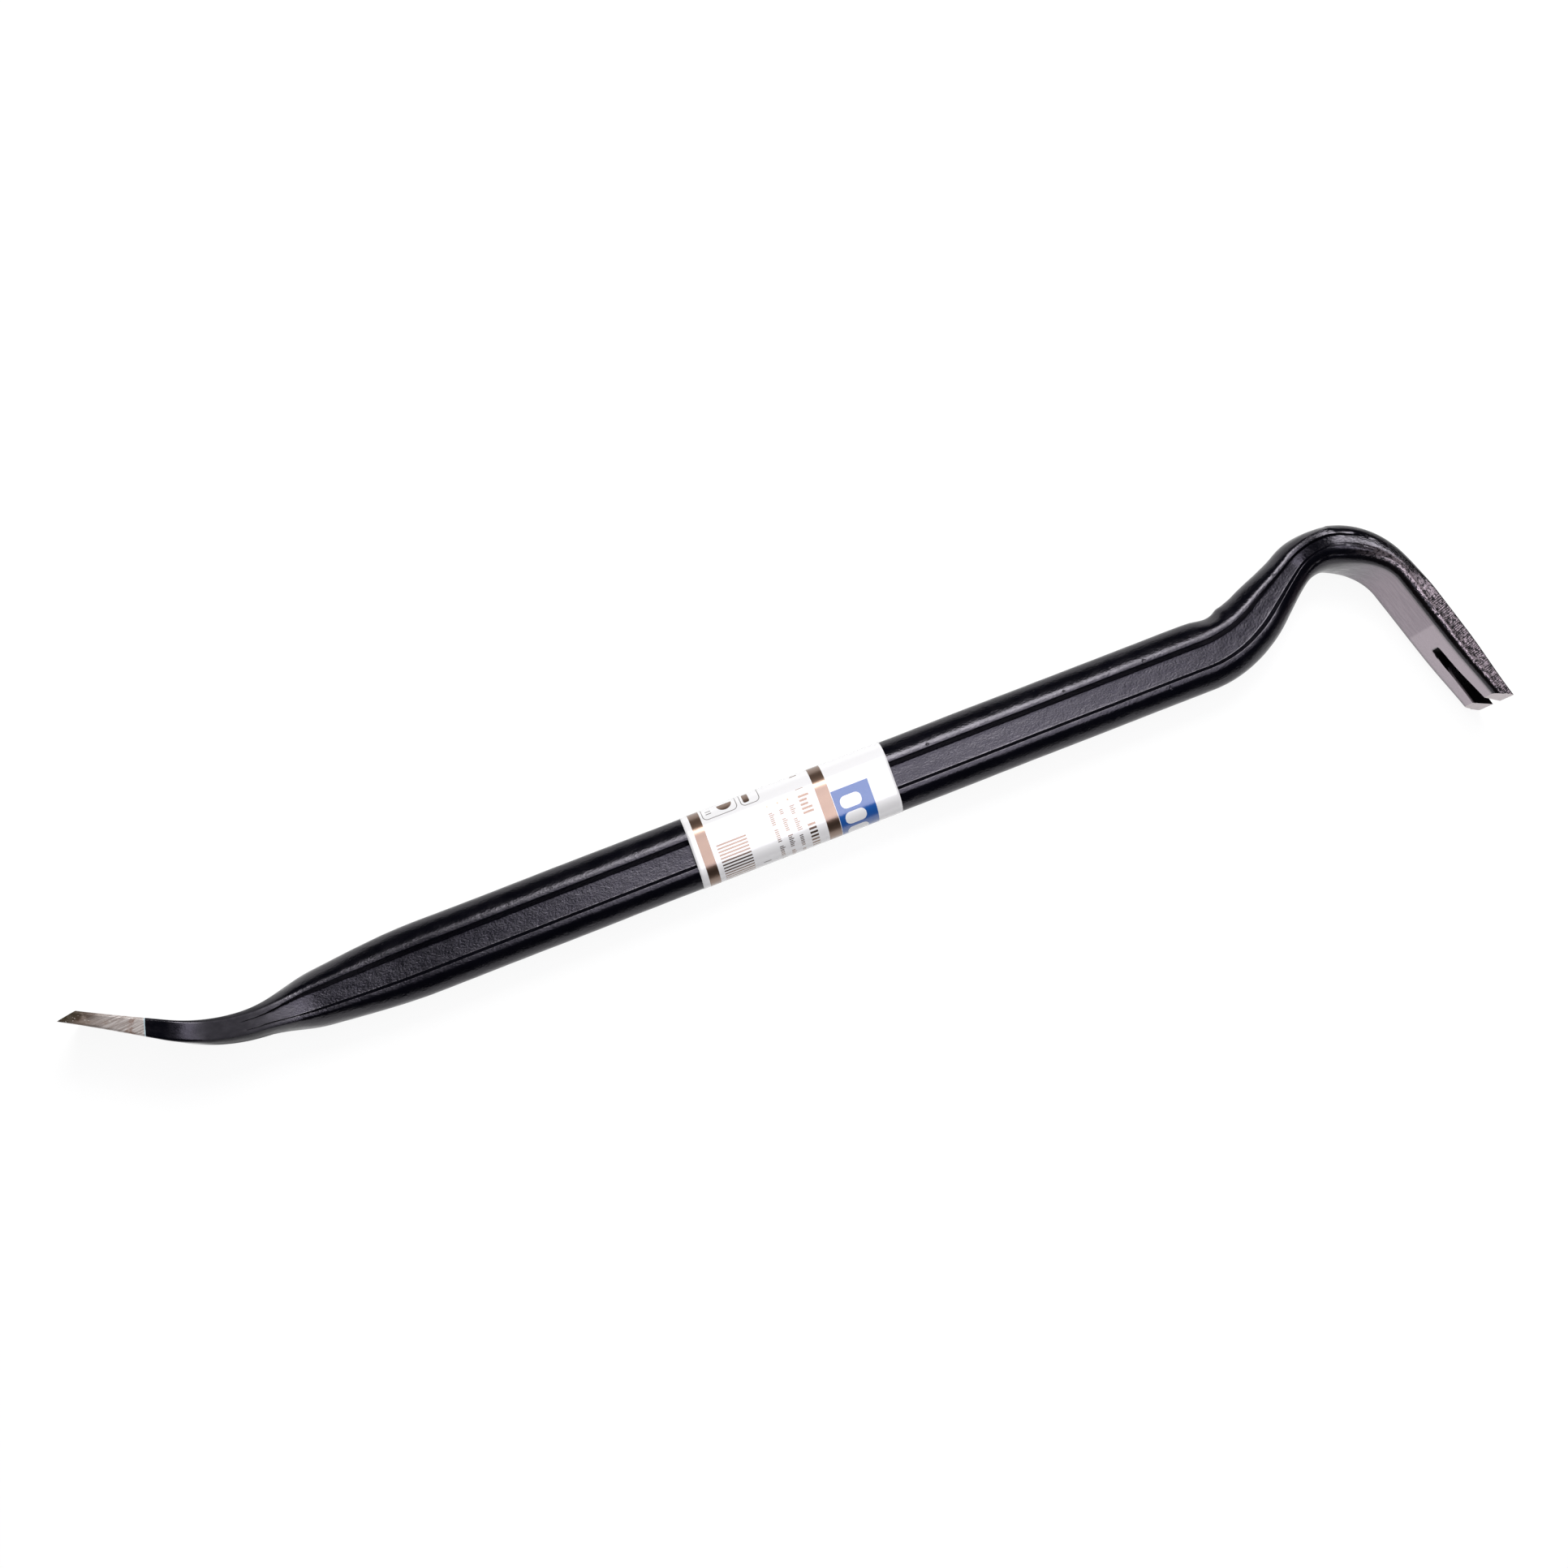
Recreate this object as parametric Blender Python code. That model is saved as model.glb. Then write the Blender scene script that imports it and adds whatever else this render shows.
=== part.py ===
"""Forged crowbar: an oval shank with a channel down each broad side, a chisel blade at
one end, a goosenecked claw with a nail slot at the other, and a label film round the shank.

Metres, +Z up. The bar lies on its side: its shank runs along X, the plane in which it is
bent is level, and the origin is at the middle of its base.

The bar is one cross-section carried along a bent centreline, from the blade's cutting edge
to the claw's tips. "Along" is the distance from the cutting edge, "depth" is measured in
the plane of the bends, square to the centreline, and "width" is measured along Z.
"""

import math

import bmesh
import bpy
import numpy as np

# Shank: an oval whose broad sides face up and down, each with a channel between two ribs
SHANK_LENGTH = 0.418
SHANK_DEPTH = 0.0307
RIB_THICKNESS = 0.0170
RIB_SPACING = 0.0134
CHANNEL_MOUTH = 0.0122
CHANNEL_FLOOR = 0.0084
CHANNEL_DEPTH = 0.0020

# Chisel blade: bent up from the shank, drawn thin, ground to one bevel on its upper face
BLADE_WIDTH = 0.0415
BLADE_LENGTH = 0.0417
BLADE_BEVEL = 0.0064
BLADE_EDGE_DEPTH = 0.0052
BLADE_ROOT_DEPTH = 0.0080
BLADE_BEND_RADIUS = 0.070
BLADE_BEND_ANGLE = math.radians(29.4)
BLADE_HEEL_DEPTH = 0.0130
BLADE_HEEL_WIDTH = 0.0270
BLADE_CORNER = 0.0010
TAPER_LENGTH = 0.070
TAPER_WAIST = 0.025
TAPER_WAIST_DEPTH = 0.0238
TAPER_WAIST_WIDTH = 0.0202

# Gooseneck: the shank bends up, rises straight, and turns over the crown into the claw
NECK_RADIUS = 0.056
NECK_ANGLE = math.radians(31.1)
NECK_DEPTH = 0.0262
RISE_LENGTH = 0.025
RISE_DEPTH = 0.0190
CROWN_RADIUS = 0.0227
CROWN_ANGLE = math.radians(51.6)
CROWN_DEPTH = 0.0182
CROWN_WIDTH = 0.0300
SHOULDER_RADIUS = 0.0344

# Claw: flat, tapering, its tips ground back on the inner face. The outer half of each side
# is trimmed square, the inner half leans in, and the inner corners are broadly rounded
CLAW_ANGLE = math.radians(74.7)
CLAW_WIDTH = 0.0415
CLAW_LENGTH = 0.0668
CLAW_BEVEL = 0.0054
CLAW_ROOT_DEPTH = 0.0090
CLAW_WAIST = 0.034
CLAW_WAIST_DEPTH = 0.0084
CLAW_TIP_DEPTH = 0.0056
CLAW_DRAFT = 0.0014
CLAW_OUTER_CORNER = 0.0008
CLAW_INNER_CORNER = 0.0016
CLAW_INNER_ROLL = 0.0045

# Nail slot: open at the tips, round at its root, wider on the claw's inner face
SLOT_LENGTH = 0.0270
SLOT_INNER_MOUTH = 0.0160
SLOT_INNER_ROOT = 0.0090
SLOT_OUTER_MOUTH = 0.0082
SLOT_OUTER_ROOT = 0.0056

# Label: a film belt round the shank, centred a little nearer to the claw
LABEL_LENGTH = 0.0888
LABEL_OFFSET = 0.0218
LABEL_SKEW = math.radians(2.0)
FILM_THICKNESS = 0.00025
FILM_CLEARANCE = 0.00035

# Facets: steps round the bends, along the taper, round the slot's root, and, in a quarter of
# a flat section, up its side, round its corner and across its face
BEND_STEP = math.radians(5.0)
TAPER_STEP = 0.007
SLOT_ARC_STEPS = 10
SIDE_STEPS = 3
CORNER_STEPS = 3
FACE_STEPS = 3
SHARP_ANGLE = math.radians(35.0)

# How far the slot's cutter runs past the claw, as a share of what it cuts
CUTTER_OVERRUN = 0.3

# Places along the centreline, from the cutting edge
BLADE_ROOT = BLADE_LENGTH
BLADE_HEEL = BLADE_ROOT + BLADE_BEND_RADIUS * BLADE_BEND_ANGLE
SHANK_FROM = BLADE_HEEL + TAPER_LENGTH
NECK_FROM = BLADE_HEEL + SHANK_LENGTH
RISE_FROM = NECK_FROM + NECK_RADIUS * NECK_ANGLE
CROWN_FROM = RISE_FROM + RISE_LENGTH
SHOULDER_FROM = CROWN_FROM + CROWN_RADIUS * CROWN_ANGLE
SHOULDER_ANGLE = NECK_ANGLE + CLAW_ANGLE - CROWN_ANGLE
CLAW_FROM = SHOULDER_FROM + SHOULDER_RADIUS * SHOULDER_ANGLE
CLAW_END = CLAW_FROM + CLAW_LENGTH
LABEL_MIDDLE = BLADE_HEEL + SHANK_LENGTH / 2 + LABEL_OFFSET

# Each run of the centreline: its length and how far it turns, counterclockwise from above
RUNS = (
    (BLADE_LENGTH, 0.0),
    (BLADE_HEEL - BLADE_ROOT, BLADE_BEND_ANGLE),
    (SHANK_LENGTH, 0.0),
    (RISE_FROM - NECK_FROM, NECK_ANGLE),
    (RISE_LENGTH, 0.0),
    (SHOULDER_FROM - CROWN_FROM, -CROWN_ANGLE),
    (CLAW_FROM - SHOULDER_FROM, -SHOULDER_ANGLE),
    (CLAW_LENGTH, 0.0),
)


def clear_scene():
    """Remove every object of the scene."""
    for old in list(bpy.data.objects):
        bpy.data.objects.remove(old, do_unlink=True)


def centreline(along):
    """Point and heading of the bar's centreline at a distance from the cutting edge."""
    x, y, heading = 0.0, 0.0, -BLADE_BEND_ANGLE
    left = along
    for index, (length, turn) in enumerate(RUNS):
        last = index == len(RUNS) - 1
        step = left if last else min(left, length)
        swing = turn * step / length
        # The chord of a run lies half its swing round from the heading that it starts with
        chord = step if swing == 0.0 else 2.0 * step / swing * math.sin(swing / 2.0)
        x += chord * math.cos(heading + swing / 2.0)
        y += chord * math.sin(heading + swing / 2.0)
        heading += swing
        left -= step
        if left <= 0.0:
            break
    return x, y, heading


def place(along, outward, z):
    """World point at a place along the bar, a distance off its centreline, and a height."""
    x, y, heading = centreline(along)
    return x - outward * math.sin(heading), y + outward * math.cos(heading), z


def smooth_through(points, at):
    """Value at a place on the smooth curve that passes through (place, value) points
    without overshooting: a cubic whose slope at each point is the harmonic mean of the
    slopes beside it, or zero where they differ in sign."""
    places = [point[0] for point in points]
    values = [point[1] for point in points]
    if at <= places[0]:
        return values[0]
    if at >= places[-1]:
        return values[-1]
    secants = [(values[i + 1] - values[i]) / (places[i + 1] - places[i])
               for i in range(len(points) - 1)]
    slopes = [0.0]
    for before, after in zip(secants, secants[1:]):
        slopes.append(2.0 * before * after / (before + after) if before * after > 0.0 else 0.0)
    slopes.append(0.0)
    i = next(k for k in range(len(secants)) if at <= places[k + 1])
    span = places[i + 1] - places[i]
    t = (at - places[i]) / span
    return (values[i] * (1 - 3 * t * t + 2 * t ** 3) + values[i + 1] * (3 * t * t - 2 * t ** 3)
            + span * slopes[i] * t * (1 - t) ** 2 + span * slopes[i + 1] * t * t * (t - 1))


def depth_at(along):
    """Depth of the bar in the plane of its bends."""
    return smooth_through((
        (0.0, BLADE_EDGE_DEPTH),
        (BLADE_ROOT, BLADE_ROOT_DEPTH),
        (BLADE_HEEL, BLADE_HEEL_DEPTH),
        (BLADE_HEEL + TAPER_WAIST, TAPER_WAIST_DEPTH),
        (SHANK_FROM, SHANK_DEPTH),
        (NECK_FROM, SHANK_DEPTH),
        (RISE_FROM, NECK_DEPTH),
        (CROWN_FROM, RISE_DEPTH),
        (SHOULDER_FROM, CROWN_DEPTH),
        (CLAW_FROM, CLAW_ROOT_DEPTH),
        (CLAW_FROM + CLAW_WAIST, CLAW_WAIST_DEPTH),
        (CLAW_END, CLAW_TIP_DEPTH),
    ), along)


def width_at(along):
    """Width of the bar along Z, over the ribs where it has them."""
    return smooth_through((
        (BLADE_ROOT, BLADE_WIDTH),
        (BLADE_HEEL, BLADE_HEEL_WIDTH),
        (BLADE_HEEL + TAPER_WAIST, TAPER_WAIST_WIDTH),
        (SHANK_FROM, RIB_THICKNESS),
        (CROWN_FROM, RIB_THICKNESS),
        (SHOULDER_FROM, CROWN_WIDTH),
        (CLAW_FROM, CLAW_WIDTH),
    ), along)


def flatness_at(along):
    """0 where the section is the shank's oval, 1 where it is a flat bar's rectangle."""
    return smooth_through((
        (BLADE_ROOT, 1.0),
        (BLADE_HEEL + TAPER_WAIST, 0.0),
        (CROWN_FROM, 0.0),
        (CLAW_FROM, 1.0),
    ), along)


def channel_at(along):
    """1 where the channels have their full depth, 0 where they have run out."""
    return smooth_through((
        (BLADE_HEEL, 0.0),
        (BLADE_HEEL + TAPER_WAIST, 1.0),
        (RISE_FROM, 1.0),
        (SHOULDER_FROM, 0.0),
    ), along)


def oval_quarter(depth, width, channel, grow=0.0):
    """Quarter of the shank's section as (outward, sideways) points, from the middle of its
    broad side to its narrow edge. The oval is an ellipse that passes through the rib's
    crest. Inside the crest the side is level, with the channel sunk into it. The whole can
    be grown by a clearance."""
    half_depth = depth / 2 + grow
    share = depth / SHANK_DEPTH
    crest = RIB_SPACING / 2 * share
    start = math.asin(2.0 * crest / depth)
    half_width = width / 2 / math.cos(start) + grow
    level = half_width * math.cos(start)
    floor = level - CHANNEL_DEPTH * channel
    points = [
        (0.0, floor),
        (CHANNEL_FLOOR / 2 * share, floor),
        (CHANNEL_MOUTH / 2 * share, level),
    ]
    for angle in np.linspace(start, math.pi / 2, SIDE_STEPS + CORNER_STEPS + FACE_STEPS - 2):
        points.append((half_depth * math.sin(angle), half_width * math.cos(angle)))
    return points


def flat_quarter(depth, width, draft, corner, roll):
    """Quarter of a flat bar's section, in as many points as the oval's. Its side leans in by
    the draft, and its corner is a quarter of an ellipse that reaches the corner's size down
    the side and the roll's size across the face."""
    side = depth / 2 - corner
    level = width / 2 - draft - roll
    points = [(side * share, width / 2 - draft * share)
              for share in np.linspace(0.0, 1.0, SIDE_STEPS + 1)]
    for angle in np.linspace(0.0, math.pi / 2, CORNER_STEPS + 1)[1:]:
        points.append((side + corner * math.sin(angle), level + roll * math.cos(angle)))
    points += [(depth / 2, level * share) for share in np.linspace(1.0, 0.0, FACE_STEPS + 1)[1:]]
    return points


def ring(outer, inner):
    """Closed section from its outer and inner quarters, mirrored across the bends' plane."""
    half = [(-outward, side) for outward, side in reversed(inner)] + list(outer[1:])
    mirrored = [(outward, -side) for outward, side in reversed(half[1:-1])]
    return half + mirrored


def bar_section(along):
    """The bar's section at a place along it: oval and flat bar mixed by its flatness."""
    depth = depth_at(along)
    width = width_at(along)
    flatness = flatness_at(along)
    oval = np.array(oval_quarter(depth, width, channel_at(along)))
    if along > CROWN_FROM:
        corners = ((0.0, CLAW_OUTER_CORNER, CLAW_OUTER_CORNER),
                   (CLAW_DRAFT, CLAW_INNER_CORNER, CLAW_INNER_ROLL))
    else:
        corners = ((0.0, BLADE_CORNER, BLADE_CORNER),) * 2
    quarters = []
    for draft, corner, roll in corners:
        flat = np.array(flat_quarter(depth, width, draft, corner, roll))
        quarters.append([tuple(point) for point in oval * (1 - flatness) + flat * flatness])
    return ring(*quarters)


def stations():
    """Places along the bar where its section is set: the ends of each straight run, steps
    of a few degrees round the bends, and short steps where the shank tapers."""
    places = [0.0]
    for length, turn in RUNS:
        steps = max(1, round(abs(turn) / BEND_STEP))
        places += list(np.linspace(places[-1], places[-1] + length, steps + 1)[1:])
    steps = round(TAPER_LENGTH / TAPER_STEP)
    places += list(np.linspace(BLADE_HEEL, SHANK_FROM, steps + 1)[1:])
    places += [CROWN_FROM - RISE_LENGTH / 2, CLAW_FROM + CLAW_WAIST]
    return sorted(places)


def bevelled_end(end, before, edge, back):
    """End ring slid along the bar's edges into the plane that passes through the points
    edge and back and is square to the plane of the bends."""
    end = np.array(end)
    before = np.array(before)
    slope = np.array(back) - np.array(edge)
    normal = np.array((slope[1], -slope[0], 0.0))
    way = before - end
    slide = (np.array(edge) - end) @ normal / (way @ normal)
    return end + way * slide[:, None]


def skin(name, rings, closed):
    """Mesh object over a row of rings with the same number of points. The row is capped at
    both ends or, if closed, its last ring is joined to its first."""
    bm = bmesh.new()
    rows = [[bm.verts.new(tuple(point)) for point in points] for points in rings]
    for row, following in zip(rows, rows[1:] + rows[:1] if closed else rows[1:]):
        for i in range(len(row)):
            k = (i + 1) % len(row)
            bm.faces.new((row[i], row[k], following[k], following[i]))
    if not closed:
        bm.faces.new(rows[0])
        bm.faces.new(reversed(rows[-1]))
    bmesh.ops.recalc_face_normals(bm, faces=bm.faces)
    mesh = bpy.data.meshes.new(name)
    bm.to_mesh(mesh)
    bm.free()
    made = bpy.data.objects.new(name, mesh)
    bpy.context.scene.collection.objects.link(made)
    return made


def finish(made, colour, roughness, metallic):
    """Give an object its own material and shade it smooth up to its sharp edges."""
    material = bpy.data.materials.new(made.name)
    material.use_nodes = True
    shader = material.node_tree.nodes["Principled BSDF"]
    shader.inputs["Base Color"].default_value = (*colour, 1.0)
    shader.inputs["Roughness"].default_value = roughness
    shader.inputs["Metallic"].default_value = metallic
    made.data.materials.append(material)
    made.data.shade_smooth()
    made.data.set_sharp_from_angle(angle=SHARP_ANGLE)


def bar_rings():
    """Every section of the bar in its place, the end ones slid into their bevels."""
    places = stations()
    rings = [[place(along, outward, side) for outward, side in bar_section(along)]
             for along in places]
    blade_edge = place(0.0, -BLADE_EDGE_DEPTH / 2, 0.0)
    blade_back = place(BLADE_BEVEL, BLADE_EDGE_DEPTH / 2, 0.0)
    rings[0] = bevelled_end(rings[0], rings[1], blade_edge, blade_back)
    claw_edge = place(CLAW_END, CLAW_TIP_DEPTH / 2, 0.0)
    claw_back = place(CLAW_END - CLAW_BEVEL, -CLAW_TIP_DEPTH / 2, 0.0)
    rings[-1] = bevelled_end(rings[-1], rings[-2], claw_edge, claw_back)
    return [np.array(points) for points in rings]


def slot_outline(mouth, root):
    """Half-round slot outline as (distance from the claw's tips, sideways) points. It
    starts past the tips, and its straight sides widen from the root to the mouth."""
    overrun = SLOT_LENGTH * CUTTER_OVERRUN
    radius = root / 2
    centre = SLOT_LENGTH - radius
    past = mouth / 2 + (mouth / 2 - radius) * overrun / centre
    arc = [(centre + radius * math.cos(angle), radius * math.sin(angle))
           for angle in np.linspace(math.pi / 2, -math.pi / 2, SLOT_ARC_STEPS + 1)]
    return [(-overrun, past)] + arc + [(-overrun, -past)]


def slot_cutter():
    """Solid that cuts the nail slot: its walls run straight from the outline on the claw's
    inner face to the one on its outer face, and on past both."""
    inner = slot_outline(SLOT_INNER_MOUTH, SLOT_INNER_ROOT)
    outer = slot_outline(SLOT_OUTER_MOUTH, SLOT_OUTER_ROOT)
    rings = [[], []]
    for (near, near_side), (far, far_side) in zip(inner, outer):
        half = depth_at(CLAW_END - max(near, 0.0)) / 2
        inside = np.array(place(CLAW_END - near, -half, near_side))
        outside = np.array(place(CLAW_END - far, half, far_side))
        through = outside - inside
        rings[0].append(inside - through * CUTTER_OVERRUN)
        rings[1].append(outside + through * CUTTER_OVERRUN)
    return rings


def label_rings():
    """Four sections of the film belt: outside and inside, at its two ends. The belt is the
    shank's oval grown by the clearance, and it bridges the channels. Its ends are cut a
    little askew."""
    rings = []
    for end, grow in ((-1, FILM_THICKNESS), (1, FILM_THICKNESS), (1, 0.0), (-1, 0.0)):
        quarter = oval_quarter(SHANK_DEPTH, RIB_THICKNESS, 0.0, grow + FILM_CLEARANCE)
        along = LABEL_MIDDLE + end * LABEL_LENGTH / 2
        rings.append([place(along + outward * math.tan(LABEL_SKEW), outward, side)
                      for outward, side in ring(quarter, quarter)])
    return rings


def build():
    """Make the two pieces, with the middle of the bar's base at the origin."""
    clear_scene()
    rings = bar_rings()
    points = np.concatenate(rings)
    low, high = points.min(axis=0), points.max(axis=0)
    base = np.array(((low[0] + high[0]) / 2, (low[1] + high[1]) / 2, low[2]))

    bar = skin("forged_bar", [points - base for points in rings], closed=False)
    cutter = skin("nail_slot_cutter", [points - base for points in slot_cutter()], closed=False)
    cutter.hide_render = True
    cutter.display_type = "WIRE"
    slot = bar.modifiers.new("nail_slot", "BOOLEAN")
    slot.operation = "DIFFERENCE"
    slot.solver = "EXACT"
    slot.object = cutter
    finish(bar, (0.018, 0.019, 0.022), 0.45, 0.0)

    label = skin("label_sleeve", [points - base for points in label_rings()], closed=True)
    finish(label, (0.80, 0.80, 0.79), 0.25, 0.0)


build()
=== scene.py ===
"""A forged crowbar lying on its side, with a printed film label wrapped round its shank.

The bar is one piece of oval steel, drawn out to a chisel blade at one end and bent round to a
slotted claw at the other. Sizes are in metres. A place on the bar is given by how far along
its centreline it lies from the blade's cutting edge, how far outward of the centreline it is
in the plane of the bends, and how far sideways, which is up or down as the bar lies.
"""

import bmesh
import bpy
import numpy as np
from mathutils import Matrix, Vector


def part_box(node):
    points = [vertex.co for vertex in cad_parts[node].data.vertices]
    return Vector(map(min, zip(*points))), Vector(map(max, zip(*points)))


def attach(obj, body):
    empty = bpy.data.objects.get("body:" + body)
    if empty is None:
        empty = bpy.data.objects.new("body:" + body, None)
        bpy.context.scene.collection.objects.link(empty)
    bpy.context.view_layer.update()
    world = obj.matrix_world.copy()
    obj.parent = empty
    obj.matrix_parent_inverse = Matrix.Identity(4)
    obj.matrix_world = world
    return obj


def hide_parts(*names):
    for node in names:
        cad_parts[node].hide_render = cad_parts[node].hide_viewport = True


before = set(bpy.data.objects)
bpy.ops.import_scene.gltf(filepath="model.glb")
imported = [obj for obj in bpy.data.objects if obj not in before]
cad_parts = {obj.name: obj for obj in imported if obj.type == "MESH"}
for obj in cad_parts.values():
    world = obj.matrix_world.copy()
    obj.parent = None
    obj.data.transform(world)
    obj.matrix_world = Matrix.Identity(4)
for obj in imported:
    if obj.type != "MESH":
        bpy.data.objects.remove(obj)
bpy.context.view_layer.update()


# Camera: the photograph was taken from above the shank's middle, a little towards the blade
# and the claw's tips, so the bar's upper side is seen almost square. One metre is a normal
# distance for a product table, and the lens follows from it and the bar's size in the picture.
camera_data = bpy.data.cameras.new("camera")
camera_data.sensor_width = 36.0
camera_data.lens = 55.9
camera = bpy.data.objects.new("camera", camera_data)
camera.location = (-0.1098, -0.0671, 1.0208)
camera.rotation_euler = np.radians((7.44, -4.03, -21.68))
bpy.context.scene.collection.objects.link(camera)
bpy.context.scene.camera = camera


# Forged bar: carbon steel bar of oval section with a channel rolled in each broad side. Its
# ends are forged flat while hot and bent in a die, the claw's sides are trimmed in a press,
# its slot is sheared, and blade and prongs are ground. Then it is dipped in black lacquer.
SHANK_LENGTH = 0.418
SHANK_DEPTH = 0.0307
RIB_THICKNESS = 0.0170
RIB_EDGE = 0.0086
OUTER_RIB_FALL = 0.00022
INNER_RIB_FALL = 0.00012
CREST_ROUNDING = 0.00018
CREST_PROUD = 0.00002
FALL_REACH = 1.6
CHANNEL_MOUTH = 0.0122
CHANNEL_FLOOR = 0.0084
CHANNEL_DEPTH = 0.0020
INNER_FLOOR_EXTRA = 0.0012
CHANNEL_FOOT_ROUNDING = 0.09
CHANNEL_MOUTH_ROUNDING = 0.06
CHANNEL_CROWN_WIDTH = 0.70
CHANNEL_HEEL_WIDTH = 0.78
CHANNEL_START = 0.0080
CHANNEL_DIP = 0.020
LEAST_WALL = 0.2
CHANNEL_RUN_OUT = 0.0160
HEEL_SHIFT = -0.0022
DIP_SHIFT = -0.0010
SHANK_SHIFT = -0.0008
CROWN_SHIFT = 0.0003
SHOULDER_SHIFT = 0.0022

BLADE_WIDTH = 0.0415
BLADE_LENGTH = 0.0417
BLADE_BEVEL = 0.0064
BLADE_EDGE_DEPTH = 0.0052
BLADE_ROOT_DEPTH = 0.0080
BLADE_BEND_RADIUS = 0.070
BLADE_BEND_ANGLE = np.radians(29.4)
BLADE_HEEL_DEPTH = 0.0130
BLADE_HEEL_WIDTH = 0.0270
BLADE_CORNER = 0.0010
TAPER_LENGTH = 0.070
TAPER_WAIST = 0.025
TAPER_WAIST_DEPTH = 0.0238
TAPER_WAIST_WIDTH = 0.0202

NECK_RADIUS = 0.056
NECK_ANGLE = np.radians(31.1)
NECK_DEPTH = 0.0262
RISE_LENGTH = 0.025
RISE_DEPTH = 0.0190
CROWN_RADIUS = 0.0227
CROWN_ANGLE = np.radians(51.6)
CROWN_DEPTH = 0.0182
CROWN_WIDTH = 0.0300
SHOULDER_RADIUS = 0.0344
CROWN_CORNER = 0.0034
CROWN_RIB_FALL = 0.0012
CROWN_INNER_FALL = 0.0008
CROWN_INNER_CORNER = 0.0018

CLAW_ANGLE = np.radians(74.7)
CLAW_WIDTH = 0.0415
CLAW_LENGTH = 0.0668
CLAW_BEVEL = 0.0054
CLAW_ROOT_DEPTH = 0.0090
CLAW_WAIST = 0.034
CLAW_WAIST_DEPTH = 0.0084
CLAW_TIP_DEPTH = 0.0056
CLAW_DRAFT = 0.0014
CLAW_OUTER_CORNER = 0.0008
CLAW_INNER_CORNER = 0.0026
CLAW_INNER_ROLL = 0.0030

SLOT_LENGTH = 0.0270
SLOT_INNER_MOUTH = 0.0160
SLOT_INNER_ROOT = 0.0090
SLOT_OUTER_MOUTH = 0.0082
SLOT_OUTER_ROOT = 0.0056

BLADE_HEEL = BLADE_LENGTH + BLADE_BEND_RADIUS * BLADE_BEND_ANGLE
SHANK_FROM = BLADE_HEEL + TAPER_LENGTH
NECK_FROM = BLADE_HEEL + SHANK_LENGTH
RISE_FROM = NECK_FROM + NECK_RADIUS * NECK_ANGLE
CROWN_FROM = RISE_FROM + RISE_LENGTH
SHOULDER_FROM = CROWN_FROM + CROWN_RADIUS * CROWN_ANGLE
SHOULDER_ANGLE = NECK_ANGLE + CLAW_ANGLE - CROWN_ANGLE
CLAW_FROM = SHOULDER_FROM + SHOULDER_RADIUS * SHOULDER_ANGLE
CLAW_END = CLAW_FROM + CLAW_LENGTH
STEP_PLACE = SHOULDER_FROM - 0.0032
ROUNDING_START = (STEP_PLACE - 0.0020, STEP_PLACE + 0.0030)
ROUNDING_STOP = (CLAW_FROM - 0.006, CLAW_FROM + 0.012)

# Each run of the centreline: its length and how far it turns, counterclockwise from above
RUNS = (
    (BLADE_LENGTH, 0.0),
    (BLADE_HEEL - BLADE_LENGTH, BLADE_BEND_ANGLE),
    (SHANK_LENGTH, 0.0),
    (RISE_FROM - NECK_FROM, NECK_ANGLE),
    (RISE_LENGTH, 0.0),
    (SHOULDER_FROM - CROWN_FROM, -CROWN_ANGLE),
    (CLAW_FROM - SHOULDER_FROM, -SHOULDER_ANGLE),
    (CLAW_LENGTH, 0.0),
)


def centreline(along):
    """Points and headings at places along the bar. Each run adds the chord of the arc that
    has been gone through in it, which is twice the arc's length over its swing, times the
    sine of half the swing, and lies half the swing round from the run's first heading."""
    x = np.zeros_like(along)
    y = np.zeros_like(along)
    heading = np.full_like(along, -BLADE_BEND_ANGLE)
    start = 0.0
    for length, turn in RUNS:
        gone = np.clip(along - start, 0.0, length)
        swing = turn * gone / length
        chord = gone * np.sinc(swing / 2.0 / np.pi)
        x += chord * np.cos(heading + swing / 2.0)
        y += chord * np.sin(heading + swing / 2.0)
        heading = heading + swing
        start += length
    return x, y, heading


def smooth_through(points, at):
    """Smooth curve through (place, value) points that never overshoots: cubic pieces whose
    slope at a point is the harmonic mean of the slopes beside it, or 0 at a turning point."""
    places, values = np.array(points).T
    rises = np.diff(values) / np.diff(places)
    product = rises[:-1] * rises[1:]
    total = np.where(product > 0.0, rises[:-1] + rises[1:], 1.0)
    slopes = np.zeros_like(values)
    slopes[1:-1] = np.where(product > 0.0, 2.0 * product / total, 0.0)
    at = np.clip(at, places[0], places[-1])
    i = np.clip(np.searchsorted(places, at, side="right") - 1, 0, len(rises) - 1)
    span = places[i + 1] - places[i]
    t = (at - places[i]) / span
    return (values[i] * (1 - 3 * t**2 + 2 * t**3) + values[i + 1] * (3 * t**2 - 2 * t**3)
            + span * slopes[i] * t * (1 - t)**2 + span * slopes[i + 1] * t**2 * (t - 1))


def smooth_step(low, high, at):
    """0 below low, 1 above high, and three times the square less twice the cube between."""
    t = np.clip((at - low) / (high - low), 0.0, 1.0)
    return t * t * (3.0 - 2.0 * t)


def soft_least(one, other, rounding):
    """The lesser of two values, with the corner where they cross rounded by a hyperbola."""
    return 0.5 * (one + other - np.sqrt((one - other)**2 + rounding**2))


def soft_ramp(at, foot, mouth):
    """Rises from 0 to 1 while its argument does, with both corners rounded: half of 1 plus
    the difference of two hyperbolas that stand on the two corners."""
    return 0.5 * (1.0 + np.sqrt(at**2 + foot**2) - np.sqrt((at - 1.0)**2 + mouth**2))


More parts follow.
